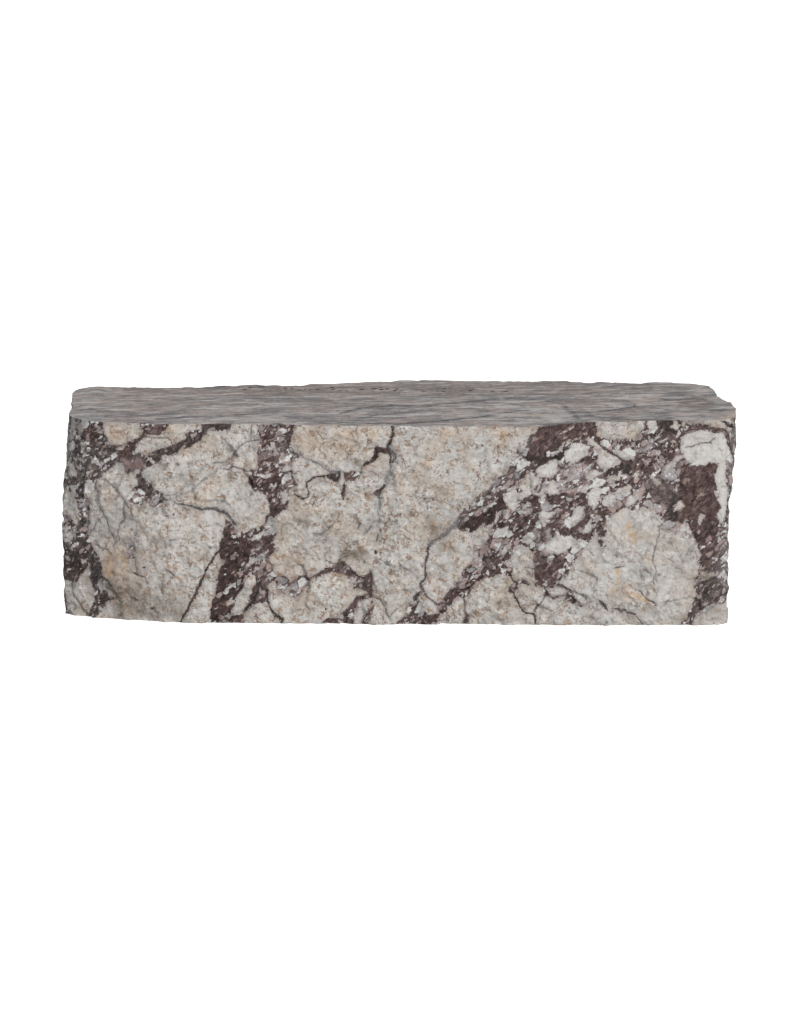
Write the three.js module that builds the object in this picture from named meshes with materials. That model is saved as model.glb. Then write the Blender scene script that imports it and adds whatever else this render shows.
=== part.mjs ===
// A marble block: one natural stone, split rough on its front, back and ends, and sawn flat on
// top and underneath. The origin is at the middle of the underside, +X runs along the length,
// the front looks towards -Y and +Z is up. Lengths are in millimetres.

import * as THREE from 'three';

// Driving dimensions of the block before its faces are shaped.
const LENGTH = 1200;
const DEPTH = 400;
const HEIGHT = 365;

// Cells of the lattice that carries the shape, about 25 mm across.
const CELLS_ALONG = 48;
const CELLS_DEEP = 15;
const CELLS_HIGH = 14;

// How far the split faces wander either side of their outline.
const FRONT_ROUGHNESS = 2.5;
const BACK_ROUGHNESS = 7;
const END_ROUGHNESS = 5;

// Outlines of the block from above: each pair is a place along the face and where the face
// stands there. The front and back run from the left end to the right, the ends from front to back.
const FRONT_AT_TOP = [
  [-600, -122], [-578, -150], [-530, -172], [-450, -177], [-240, -179], [-180, -188],
  [0, -197], [120, -200], [225, -200], [285, -180], [350, -162], [460, -153], [575, -148], [600, -128],
];
const FRONT_AT_FLOOR = [
  [-600, -128], [-575, -146], [-500, -167], [-400, -189], [-250, -195], [0, -200],
  [300, -203], [500, -206], [578, -205], [600, -192],
];
const BACK_AT_TOP = [
  [-600, 118], [-580, 142], [-425, 141], [-330, 151], [-200, 161], [-100, 171], [-30, 195],
  [10, 203], [250, 200], [340, 193], [370, 181], [395, 189], [480, 179], [565, 174], [600, 150],
];
const BACK_AT_FLOOR = [
  [-600, 150], [-560, 182], [-420, 190], [-200, 196], [60, 204], [300, 198], [520, 200], [600, 172],
];
const LEFT_AT_TOP = [[-200, -588], [-60, -598], [70, -607], [130, -602], [200, -584]];
const LEFT_AT_FLOOR = [[-200, -606], [-90, -613], [60, -616], [200, -600]];
const RIGHT_AT_TOP = [[-200, 590], [-95, 604], [-50, 598], [0, 597], [60, 590], [110, 588], [200, 582]];
const RIGHT_AT_FLOOR = [[-200, 588], [-120, 592], [40, 606], [200, 590]];

// Height at which each face starts to lean from its floor outline to its top outline.
const FRONT_LEAN_STARTS = 175;
const BACK_LEAN_STARTS = 60;
const LEFT_LEAN_STARTS = 200;
const RIGHT_LEAN_STARTS = 150;

// Broken hollows: place along the face, height, radius and depth.
const FRONT_HOLLOWS = [
  [500, 250, 95, 7], [-520, 330, 70, 6], [-560, 60, 60, 6], [545, 60, 60, 7], [-130, 120, 120, 3],
  [330, 90, 150, -5], [-430, 110, 110, -3],
];
const BACK_HOLLOWS = [
  [-430, 240, 170, 24], [-120, 110, 150, 16], [190, 260, 160, 20], [420, 120, 140, 18], [560, 300, 90, 14],
];
const LEFT_HOLLOWS = [[40, 250, 130, 14], [-90, 90, 90, 9]];
const RIGHT_HOLLOWS = [[-150, 150, 55, 7], [60, 220, 130, 16], [120, 60, 90, 10]];

const smooth = (t) => {
  const inside = Math.min(1, Math.max(0, t));
  return inside * inside * (3 - 2 * inside);
};

// Reads an outline at one place, straight from each of its points to the next.
function readOutline(outline, place) {
  if (place <= outline[0][0]) return outline[0][1];
  for (let i = 1; i < outline.length; i += 1) {
    const [from, low] = outline[i - 1];
    const [to, high] = outline[i];
    if (place <= to) return THREE.MathUtils.lerp(low, high, (place - from) / (to - from));
  }
  return outline[outline.length - 1][1];
}

// Total depth of the hollows at one place; a negative depth is a swelling.
function readHollows(hollows, along, height) {
  let depth = 0;
  for (const [centre, level, radius, most] of hollows) {
    const away = Math.hypot(along - centre, height - level) / radius;
    if (away < 1) depth += most * (1 - away * away) ** 2;
  }
  return depth;
}

// Irregular waves between -1 and 1, different for each phase.
function waves(along, height, phase) {
  const a = along / 1000;
  const h = height / 1000;
  const broad = Math.sin(31 * a + 17 * h + 2.1 * phase) * Math.cos(23 * h - 9 * a + phase);
  const middle = Math.sin(67 * a - 41 * h + 3.7 * phase) * Math.cos(59 * h + 37 * a - 1.3 * phase);
  const narrow = Math.sin(113 * a + 97 * h + 5.3 * phase) * Math.cos(131 * h - 71 * a + 2.9 * phase);
  return 0.5 * broad + 0.3 * middle + 0.2 * narrow;
}

// Where a split face stands: between its floor and top outlines, less its hollows, with its waves.
function readFace(face, along, height) {
  const lean = smooth((height - face.leanStarts) / (HEIGHT - face.leanStarts));
  const floor = readOutline(face.atFloor, along);
  const top = readOutline(face.atTop, along);
  const hollow = readHollows(face.hollows, along, height) - face.roughness * waves(along, height, face.phase);
  return THREE.MathUtils.lerp(floor, top, lean) - face.outwards * hollow;
}

const FRONT = {
  atTop: FRONT_AT_TOP, atFloor: FRONT_AT_FLOOR, leanStarts: FRONT_LEAN_STARTS,
  hollows: FRONT_HOLLOWS, roughness: FRONT_ROUGHNESS, phase: 1, outwards: -1,
};
const BACK = {
  atTop: BACK_AT_TOP, atFloor: BACK_AT_FLOOR, leanStarts: BACK_LEAN_STARTS,
  hollows: BACK_HOLLOWS, roughness: BACK_ROUGHNESS, phase: 2, outwards: 1,
};
const LEFT = {
  atTop: LEFT_AT_TOP, atFloor: LEFT_AT_FLOOR, leanStarts: LEFT_LEAN_STARTS,
  hollows: LEFT_HOLLOWS, roughness: END_ROUGHNESS, phase: 3, outwards: -1,
};
const RIGHT = {
  atTop: RIGHT_AT_TOP, atFloor: RIGHT_AT_FLOOR, leanStarts: RIGHT_LEAN_STARTS,
  hollows: RIGHT_HOLLOWS, roughness: END_ROUGHNESS, phase: 4, outwards: 1,
};

// A plain lattice box whose points are moved between the four split faces. The top and the
// underside keep their heights, so both stay flat.
function makeBlockGeometry() {
  const geometry = new THREE.BoxGeometry(LENGTH, DEPTH, HEIGHT, CELLS_ALONG, CELLS_DEEP, CELLS_HIGH);
  geometry.translate(0, 0, HEIGHT / 2);
  const points = geometry.getAttribute('position');
  for (let i = 0; i < points.count; i += 1) {
    const along = points.getX(i);
    const across = points.getY(i);
    const height = points.getZ(i);
    const fromLeft = along / LENGTH + 0.5;
    const fromFront = across / DEPTH + 0.5;
    const left = readFace(LEFT, across, height);
    const right = readFace(RIGHT, across, height);
    const front = readFace(FRONT, along, height);
    const back = readFace(BACK, along, height);
    points.setX(i, THREE.MathUtils.lerp(left, right, fromLeft));
    points.setY(i, THREE.MathUtils.lerp(front, back, fromFront));
  }
  geometry.computeBoundingBox();
  const middle = geometry.boundingBox.getCenter(new THREE.Vector3());
  geometry.translate(-middle.x, -middle.y, 0);
  geometry.computeVertexNormals();
  return geometry;
}

// Breccia marble: cream fragments in a brown-purple ground.
function makeMarble() {
  return new THREE.MeshStandardMaterial({ color: 0xbab2ab, roughness: 0.7, metalness: 0 });
}

const block = new THREE.Mesh(makeBlockGeometry(), makeMarble());
block.name = 'marble_block';

const object = new THREE.Group();
object.add(block);

export default object;
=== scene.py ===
"""Marble block: one breccia stone with split sides and a sawn top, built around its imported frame.

Shapes and markings are set out in millimetres in the mason's frame: x along the length, y from
the front to the back, z up from the underside. They are turned into metres at the end.
"""

import math

import bmesh
import bpy
import numpy as np
from bpy.props import FloatProperty, FloatVectorProperty, PointerProperty
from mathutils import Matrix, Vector


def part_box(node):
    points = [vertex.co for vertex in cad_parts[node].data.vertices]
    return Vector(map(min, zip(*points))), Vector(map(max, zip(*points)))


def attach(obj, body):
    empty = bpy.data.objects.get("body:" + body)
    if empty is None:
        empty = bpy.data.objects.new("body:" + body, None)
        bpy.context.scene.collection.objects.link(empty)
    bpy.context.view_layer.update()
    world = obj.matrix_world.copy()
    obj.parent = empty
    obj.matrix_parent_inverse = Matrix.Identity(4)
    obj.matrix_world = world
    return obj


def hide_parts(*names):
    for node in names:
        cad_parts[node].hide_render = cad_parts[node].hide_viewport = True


bl_info = {
    "name": "Marble Block",
    "version": (1, 0, 0),
    "blender": (4, 5, 0),
    "location": "View3D > Sidebar > Marble Block",
    "description": "Carves a split block of breccia marble and sets it on a pale floor",
    "category": "Add Mesh",
}

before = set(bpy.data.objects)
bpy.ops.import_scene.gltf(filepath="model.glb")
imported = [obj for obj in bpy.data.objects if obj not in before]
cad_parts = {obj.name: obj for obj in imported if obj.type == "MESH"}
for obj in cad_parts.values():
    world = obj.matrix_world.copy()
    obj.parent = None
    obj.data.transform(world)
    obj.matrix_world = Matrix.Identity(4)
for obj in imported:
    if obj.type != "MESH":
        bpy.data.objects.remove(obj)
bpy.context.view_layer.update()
NODE = "marble_block"
NODE_LOW, NODE_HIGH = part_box(NODE)
MM = 0.001

# ---------------------------------------------------------------- the block's shape, in mm

LENGTH = 1200.0
DEPTH = 400.0
HEIGHT = (NODE_HIGH.z - NODE_LOW.z) / MM

# Outlines from above, as in the frame: (place along the face, where the face stands).
FRONT_AT_TOP = (
    (-600, -122), (-578, -150), (-530, -172), (-450, -177), (-240, -179), (-180, -188), (0, -197),
    (120, -200), (225, -200), (285, -180), (350, -162), (460, -153), (575, -148), (600, -128),
)
FRONT_AT_FLOOR = (
    (-600, -128), (-575, -146), (-500, -167), (-400, -189), (-250, -195), (0, -200), (300, -203),
    (500, -206), (578, -205), (600, -192),
)
BACK_AT_TOP = (
    (-600, 118), (-580, 142), (-425, 141), (-330, 151), (-200, 161), (-100, 171), (-30, 195),
    (10, 203), (250, 200), (340, 193), (370, 181), (395, 189), (480, 179), (565, 174), (600, 150),
)
BACK_AT_FLOOR = (
    (-600, 150), (-560, 182), (-420, 190), (-200, 196), (60, 204), (300, 198), (520, 200), (600, 172),
)
LEFT_AT_TOP = ((-200, -590), (-60, -600), (70, -607), (130, -606), (200, -600))
LEFT_AT_FLOOR = ((-200, -609), (-90, -616), (60, -616), (200, -600))
RIGHT_AT_TOP = ((-200, 598), (-95, 612), (-50, 606), (0, 602), (60, 592), (110, 588), (200, 582))
RIGHT_AT_FLOOR = ((-200, 588), (-120, 592), (40, 606), (200, 590))

# Broken hollows: (place along the face, height, radius, depth). A negative depth is a swelling.
FRONT_HOLLOWS = (
    (500, 250, 95, 7), (-520, 330, 70, 6), (-560, 60, 60, 6), (545, 60, 60, 7), (-130, 120, 120, 3),
    (330, 90, 150, -5), (-430, 110, 110, -3),
)
BACK_HOLLOWS = (
    (-430, 240, 170, 24), (-120, 110, 150, 16), (190, 260, 160, 20), (420, 120, 140, 18), (560, 300, 90, 14),
)
LEFT_HOLLOWS = ((40, 250, 130, 14), (-90, 90, 90, 9), (-150, 215, 70, 7))
RIGHT_HOLLOWS = ((-150, 150, 55, 7), (60, 220, 130, 16), (120, 60, 90, 10))

FRONT, BACK, LEFT, RIGHT, TOP, UNDER = range(6)

# Each split face: its outlines, the height where it starts to lean from one to the other, its
# hollows, how far it wanders, the phase of its waves and which way is outwards.
SPLIT_FACES = {
    FRONT: (FRONT_AT_FLOOR, FRONT_AT_TOP, 175, FRONT_HOLLOWS, 2.5, 1, -1),
    BACK: (BACK_AT_FLOOR, BACK_AT_TOP, 60, BACK_HOLLOWS, 7, 2, 1),
    LEFT: (LEFT_AT_FLOOR, LEFT_AT_TOP, 200, LEFT_HOLLOWS, 5, 3, -1),
    RIGHT: (RIGHT_AT_FLOOR, RIGHT_AT_TOP, 150, RIGHT_HOLLOWS, 5, 4, 1),
}

# The fine relief of each split face: the axis that it faces along and which way, how strong the
# relief is, and how much of its smaller chips and grit there is.
SPLIT_RELIEF = (
    (FRONT, 1, -1, 0.5, 0.7), (BACK, 1, 1, 0.95, 0.8), (LEFT, 0, -1, 0.45, 0.5),
    (RIGHT, 0, 1, 0.45, 0.5),
)
# It fades out over this distance behind the face, and each face reads its own slice of the noise.
RELIEF_REACH = 45.0
NOISE_SLICE = 37.0

# The markings on the front are set out on a flat drawing plane and carried back to the stone
# along straight lines from one eye point, so that they keep their shape where the face recedes.
DRAWING_PLANE_Y = -200.0
EYE = (0.0, -5622.0, 1582.0)

# ---------------------------------------------------------------- markings on the front, in mm
# Grounds are closed outlines of dark matrix (x, z), each with its darkness, greyness and share of
# small pale fragments. Veins are lines of (x, z, half width) with a darkness and a greyness.

GROUNDS = {
    "corner mass": (0.55, 0.6, 0.28, (
        (-590, 394), (-526, 394), (-526, 368), (-525, 353), (-522, 343), (-513, 332), (-504, 330),
        (-491, 335), (-479, 338), (-468, 340), (-470, 332), (-467, 323), (-461, 315), (-451, 311),
        (-452, 296), (-453, 287), (-461, 281), (-469, 281), (-479, 281), (-487, 280), (-490, 288),
        (-493, 299), (-505, 298), (-514, 288), (-529, 281), (-532, 275), (-541, 266), (-541, 252),
        (-552, 245), (-566, 244), (-578, 240), (-590, 250), (-606, 256), (-606, 272), (-590, 272),
        (-580, 296), (-586, 330),
    )),
    "corner streaks": (0.3, 0.9, 0.5, (
        (-616, 394), (-584, 394), (-586, 330), (-580, 296), (-590, 272), (-616, 272),
    )),
    "slanting band": (0.65, 0.5, 0.12, (
        (-350, 394), (-290, 394), (-303, 359), (-322, 356), (-338, 357), (-349, 346), (-353, 339),
        (-367, 331), (-376, 324), (-387, 321), (-398, 316), (-414, 313), (-424, 309), (-427, 301),
        (-437, 294), (-451, 288), (-452, 304), (-449, 317), (-431, 321), (-413, 328), (-393, 335),
        (-380, 342), (-381, 350), (-371, 357), (-353, 358),
    )),
    "upper patch": (0.5, 0.1, 0.2, (
        (-463, 394), (-407, 394), (-409, 367), (-416, 358), (-427, 350), (-434, 349), (-443, 350),
        (-452, 349), (-458, 342), (-467, 337), (-459, 349), (-455, 358), (-463, 360),
    )),
    "falling band": (0.45, 0.45, 0.2, (
        (-470, 284), (-460, 281), (-453, 269), (-443, 257), (-440, 249), (-425, 240), (-421, 231),
        (-425, 221), (-440, 216), (-448, 219), (-446, 229), (-452, 226), (-461, 220), (-470, 223),
        (-481, 226), (-485, 234), (-476, 245), (-466, 257), (-470, 272),
    )),
    "left stem": (0.75, 0.6, 0.15, (
        (-571, 248), (-562, 240), (-555, 228), (-556, 212), (-556, 196), (-556, 180), (-552, 160),
        (-548, 145), (-541, 130), (-538, 115), (-534, 100), (-530, 90), (-523, 82), (-518, 74),
        (-520, 70), (-530, 78), (-534, 70), (-530, 62), (-524, 58), (-526, 51), (-514, 50), (-514, 44),
        (-527, 44), (-532, 34), (-538, 24), (-543, 18), (-546, 12), (-558, 12), (-557, 24), (-552, 32),
        (-548, 48), (-550, 62), (-553, 75), (-558, 88), (-558, 98), (-557, 108), (-556, 121),
        (-560, 135), (-566, 150), (-575, 165), (-578, 180), (-573, 196), (-574, 214), (-580, 236),
    )),
    "left patch": (0.6, 0.05, 0.15, (
        (-616, 205), (-598, 206), (-589, 198), (-583, 186), (-574, 184), (-562, 160), (-556, 140),
        (-555, 121), (-556, 112), (-560, 104), (-566, 98), (-573, 92), (-577, 85), (-583, 80),
        (-590, 80), (-600, 85), (-616, 88),
    )),
    "left foot": (0.6, 0.8, 0.2, (
        (-616, 62), (-601, 58), (-600, 40), (-601, 24), (-590, 22), (-586, 10), (-616, 10),
    )),
    "rising lobe": (0.4, 0.25, 0.25, (
        (-167, 84), (-158, 88), (-150, 92), (-140, 99), (-133, 104), (-122, 108), (-112, 113),
        (-100, 114), (-93, 109), (-84, 103), (-79, 96), (-75, 90), (-66, 88), (-58, 92), (-52, 99),
        (-49, 90), (-50, 80), (-48, 66), (-50, 57), (-58, 57), (-66, 62), (-74, 67), (-82, 66),
        (-84, 74), (-90, 78), (-94, 88), (-100, 92), (-112, 95), (-118, 97), (-128, 97), (-140, 92),
        (-155, 85),
    )),
    "rust tangle": (0.2, 0.6, 0.5, (
        (-492, 150), (-478, 152), (-475, 140), (-477, 122), (-486, 121), (-484, 136),
    )),
    "main band": (0.5, 0.1, 0.2, (
        (-252, 394), (-183, 394), (-187, 356), (-193, 346), (-196, 333), (-190, 322), (-186, 314),
        (-192, 304), (-194, 292), (-195, 280), (-190, 268), (-183, 260), (-188, 253), (-199, 248),
        (-197, 234), (-199, 218), (-206, 211), (-215, 207), (-222, 198), (-227, 187), (-221, 176),
        (-221, 163), (-230, 155), (-223, 142), (-230, 129), (-233, 120), (-227, 111), (-231, 101),
        (-222, 92), (-205, 90), (-199, 80), (-199, 65), (-207, 58), (-219, 56), (-226, 65), (-233, 60),
        (-238, 48), (-245, 38), (-253, 42), (-262, 40), (-270, 32), (-280, 18), (-281, -5), (-343, -5),
        (-341, 22), (-333, 55), (-326, 92), (-320, 108), (-320, 122), (-327, 138), (-324, 151),
        (-316, 162), (-315, 177), (-310, 192), (-295, 184), (-286, 175), (-278, 168), (-266, 174),
        (-253, 180), (-242, 187), (-240, 198), (-234, 208), (-233, 221), (-238, 235), (-249, 243),
        (-260, 247), (-266, 258), (-269, 269), (-264, 276), (-255, 279), (-262, 283), (-268, 285),
        (-262, 291), (-255, 293), (-253, 305), (-252, 316), (-251, 328), (-248, 335), (-250, 345),
    )),
    "grey foot": (0.2, 0.35, 0.35, (
        (-203, 56), (-198, 74), (-190, 86), (-180, 91), (-165, 89), (-160, 94), (-157, 88), (-163, 76),
        (-166, 70), (-172, 66), (-178, 56), (-190, 51), (-197, 53),
    )),
    "step one": (0.6, 0.2, 0.12, (
        (-130, 277), (-124, 282), (-108, 281), (-107, 274), (-110, 265), (-117, 263), (-124, 269),
        (-131, 272),
    )),
    "step two": (0.55, 0.1, 0.2, (
        (-101, 279), (-95, 281), (-81, 283), (-71, 281), (-70, 278), (-77, 270), (-81, 263), (-88, 263),
        (-92, 267), (-97, 263), (-96, 254), (-98, 240), (-101, 232), (-105, 235), (-105, 247),
        (-101, 258), (-102, 270),
    )),
    "step three": (0.95, 0.05, 0.03, (
        (-71, 281), (-67, 285), (-62, 293), (-55, 298), (-48, 297), (-44, 303), (-38, 310), (-37, 315),
        (-26, 315), (-19, 316), (-17, 321), (-21, 326), (-30, 328), (-44, 328), (-46, 322), (-48, 313),
        (-55, 305), (-61, 301), (-66, 295), (-69, 287),
    )),
    "knot": (0.85, 0.3, 0.1, ((-45, 236), (-34, 232), (-33, 246), (-38, 250), (-46, 243))),
    "floor band one": (0.4, 0.15, 0.2, (
        (-142, -8), (-140, 4), (-130, 10), (-115, 12), (-104, 20), (-95, 28), (-88, 35), (-83, 44),
        (-78, 51), (-70, 53), (-62, 59), (-50, 60), (-50, 50), (-62, 47), (-70, 44), (-74, 38),
        (-77, 28), (-80, 20), (-84, 12), (-84, -8),
    )),
    "floor band two": (0.35, 0.15, 0.3, (
        (-68, -8), (-66, 18), (-60, 26), (-56, 34), (-51, 44), (-47, 38), (-50, 28), (-55, 16),
        (-58, -8),
    )),
    "floor wedge": (0.5, 0.1, 0.3, (
        (-6, -8), (-4, 5), (8, 12), (13, 20), (12, 30), (16, 38), (22, 37), (27, 36), (32, 42),
        (38, 40), (40, 33), (34, 24), (44, 23), (54, 16), (68, 20), (77, 17), (62, 4), (60, -8),
    )),
    "lower band": (0.5, 0.15, 0.35, (
        (160, 125), (141, 117), (131, 117), (119, 107), (110, 93), (105, 81), (98, 69), (86, 60),
        (78, 50), (70, 38), (66, 30), (72, 22), (80, 20), (86, 30), (98, 42), (110, 50), (124, 52),
        (131, 67), (143, 79), (157, 89), (166, 89), (176, 94), (186, 99), (196, 110), (190, 125),
    )),
    "floor foot": (0.45, 0.2, 0.15, ((112, -5), (114, 12), (120, 19), (126, 12), (121, -5))),
    "breccia": (0.42, 0.15, 0.38, (
        (246, 394), (612, 394), (612, -8), (500, -8), (300, 40), (230, 60), (199, 84), (190, 92),
        (176, 94), (157, 89), (150, 100), (138, 118), (141, 137), (148, 145), (156, 156), (162, 163),
        (164, 171), (164, 179), (166, 187), (156, 185), (145, 180), (136, 174), (126, 168), (118, 171),
        (110, 172), (102, 181), (104, 192), (108, 201), (115, 212), (122, 219), (129, 230), (137, 238),
        (148, 246), (160, 250), (164, 261), (169, 271), (180, 273), (190, 282), (199, 297), (206, 305),
        (204, 314), (211, 322), (216, 332), (222, 339), (228, 344), (233, 348), (239, 354), (246, 361),
    )),
    "fork knot": (0.5, 0.4, 0.2, (
        (199, 86), (206, 85), (212, 80), (217, 77), (222, 80), (227, 82), (226, 77), (218, 73),
        (214, 68), (208, 62), (204, 59), (198, 60), (197, 66), (200, 74),
    )),
}

# Patches inside the breccia whose ground differs from the rest: outline, darkness, greyness and
# share of fragments.
SHADES = {
    "corner heart": (0.35, 0.0, 0.12, (
        (-500, 334), (-480, 337), (-470, 330), (-468, 318), (-474, 306), (-500, 308), (-505, 320),
    )),
    "corner clay": (-0.6, 0.0, 0.05, (
        (-497, 307), (-486, 303), (-474, 307), (-462, 308), (-456, 301), (-453, 292), (-461, 286),
        (-475, 288), (-487, 287), (-491, 295),
    )),
    "corner blush": (0.4, 0.0, 0.25, (
        (-560, 366), (-540, 366), (-534, 350), (-536, 332), (-545, 328), (-556, 340), (-560, 352),
    )),
    "falling mottle": (0.15, 0.3, 0.65, (
        (-485, 236), (-462, 248), (-450, 236), (-448, 222), (-462, 216), (-486, 222),
    )),
    "stem mottle": (0.4, 0.5, 0.5, (
        (-580, 240), (-560, 238), (-554, 225), (-556, 196), (-575, 192), (-580, 215),
    )),
    "patch shards": (0.5, 0.2, 0.5, (
        (-616, 205), (-596, 205), (-580, 188), (-574, 160), (-584, 136), (-616, 135),
    )),
    "band left": (0.7, 0.05, 0.14, (
        (-322, 152), (-300, 190), (-285, 176), (-268, 172), (-262, 150), (-264, 130), (-276, 108),
        (-284, 76), (-296, 50), (-312, 10), (-345, -8), (-341, 22), (-333, 55), (-326, 92),
    )),
    "band middle": (0.35, 0.2, 0.42, (
        (-262, 150), (-236, 138), (-228, 112), (-226, 88), (-250, 84), (-262, 96), (-272, 104),
        (-264, 128),
    )),
    "band foot": (0.3, 0.25, 0.28, (
        (-246, 92), (-222, 93), (-204, 90), (-199, 66), (-219, 54), (-246, 60), (-252, 76),
    )),
    "band column": (0.25, 0.45, 0.5, (
        (-214, 365), (-196, 352), (-196, 330), (-188, 312), (-196, 290), (-194, 262), (-198, 232),
        (-212, 222), (-214, 250), (-210, 280), (-222, 300), (-222, 330), (-206, 345),
    )),
    "band crest": (0.45, 0.2, 0.3, (
        (-252, 394), (-214, 394), (-210, 352), (-222, 340), (-250, 334), (-250, 350),
    )),
    "crown": (0.42, 0.08, 0.05, (
        (240, 394), (349, 394), (349, 345), (330, 344), (300, 338), (285, 322), (262, 316), (221, 314),
        (224, 330), (232, 344), (246, 361),
    )),
    "crown shadow": (1.0, 0.3, 0.03, (
        (219, 300), (221, 314), (240, 312), (250, 310), (266, 309), (274, 318), (290, 328), (292, 312),
        (288, 302), (276, 302), (266, 300), (258, 293), (244, 297), (232, 292), (226, 300),
    )),
    "upper band": (0.3, 0.45, 0.4, (
        (218, 298), (240, 300), (225, 280), (205, 262), (190, 252), (180, 240), (165, 228), (130, 205),
        (110, 200), (117, 212), (138, 236), (166, 260), (194, 282),
    )),
    "band heart": (0.95, 0.1, 0.04, (
        (188, 232), (182, 216), (172, 205), (162, 189), (150, 186), (140, 178), (128, 169), (115, 174),
        (112, 188), (135, 200), (155, 212), (170, 228), (182, 236),
    )),
    "below the band": (0.5, 0.12, 0.25, (
        (196, 200), (240, 207), (250, 200), (256, 182), (262, 160), (250, 140), (236, 140), (232, 168),
        (215, 165), (200, 152), (168, 165), (165, 188), (182, 196),
    )),
    "purple lobe": (0.3, 0.12, 0.08, (
        (249, 128), (258, 131), (280, 130), (297, 134), (301, 124), (294, 107), (284, 89), (282, 74),
        (272, 70), (256, 68), (244, 72), (239, 89), (238, 107), (240, 119),
    )),
    "right field": (0.4, 0.03, 0.02, (
        (503, 300), (515, 296), (522, 299), (530, 301), (532, 295), (543, 294), (549, 299), (557, 303),
        (566, 303), (566, 297), (562, 288), (560, 279), (562, 268), (566, 260), (566, 250), (564, 241),
        (566, 233), (571, 226), (574, 218), (573, 210), (568, 202), (560, 190), (545, 185), (520, 190),
        (500, 200), (480, 215), (492, 235), (498, 262), (496, 285),
    )),
    "grey pocket": (0.9, 0.5, 0.03, (
        (362, 279), (372, 290), (385, 297), (398, 300), (410, 298), (413, 286), (404, 278), (392, 276),
        (381, 281), (370, 275),
    )),
    "rusty pocket": (0.35, 0.05, 0.12, (
        (404, 302), (416, 306), (430, 306), (442, 298), (444, 284), (430, 282), (414, 284),
    )),
    "swirls": (0.55, 0.2, 0.4, (
        (422, 344), (436, 358), (456, 362), (470, 356), (488, 350), (498, 336), (490, 318), (476, 300),
        (456, 284), (440, 290), (428, 310), (420, 326),
    )),
    "pink mosaic": (0.0, 0.2, 0.6, (
        (284, 296), (320, 298), (344, 296), (362, 284), (352, 262), (336, 246), (306, 240), (288, 246),
        (282, 264),
    )),
    "streaky wedge": (0.1, 0.3, 0.5, (
        (478, 286), (486, 300), (500, 308), (506, 302), (500, 286), (488, 278),
    )),
    "brown field": (0.12, 0.35, 0.07, (
        (437, 276), (452, 272), (470, 268), (492, 262), (496, 245), (490, 222), (470, 212), (455, 220),
        (445, 236), (438, 256),
    )),
    "dark corner": (0.75, 0.45, 0.04, (
        (474, 215), (492, 245), (500, 230), (492, 206), (500, 190), (484, 190),
    )),
    "right stem": (0.45, 0.1, 0.1, (
        (520, 190), (560, 192), (575, 186), (574, 150), (570, 120), (566, 98), (540, 100), (536, 111),
        (537, 130), (527, 134), (529, 152), (522, 167),
    )),
    "dark piece": (1.0, 0.35, 0.0, (
        (452, 394), (486, 394), (490, 358), (478, 352), (468, 356), (458, 361),
    )),
    "grey flank": (0.15, 0.5, 0.35, (
        (586, 394), (612, 394), (612, -8), (590, -8), (582, 60), (570, 70), (566, 120), (572, 165),
        (582, 185), (588, 220), (585, 260), (581, 300), (588, 330),
    )),
    "foot band": (0.45, 0.3, 0.2, (
        (592, 74), (596, 50), (573, 43), (554, 33), (533, 18), (521, 8), (514, -6), (505, -6),
        (518, 15), (529, 35), (539, 50), (548, 65), (565, 69), (577, 74),
    )),
    "floor shadow": (0.6, 0.5, 0.08, (
        (303, 45), (320, 38), (334, 28), (354, 23), (371, 15), (383, 3), (383, -8), (335, -8),
        (334, 10), (323, 23), (310, 35),
    )),
}

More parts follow.
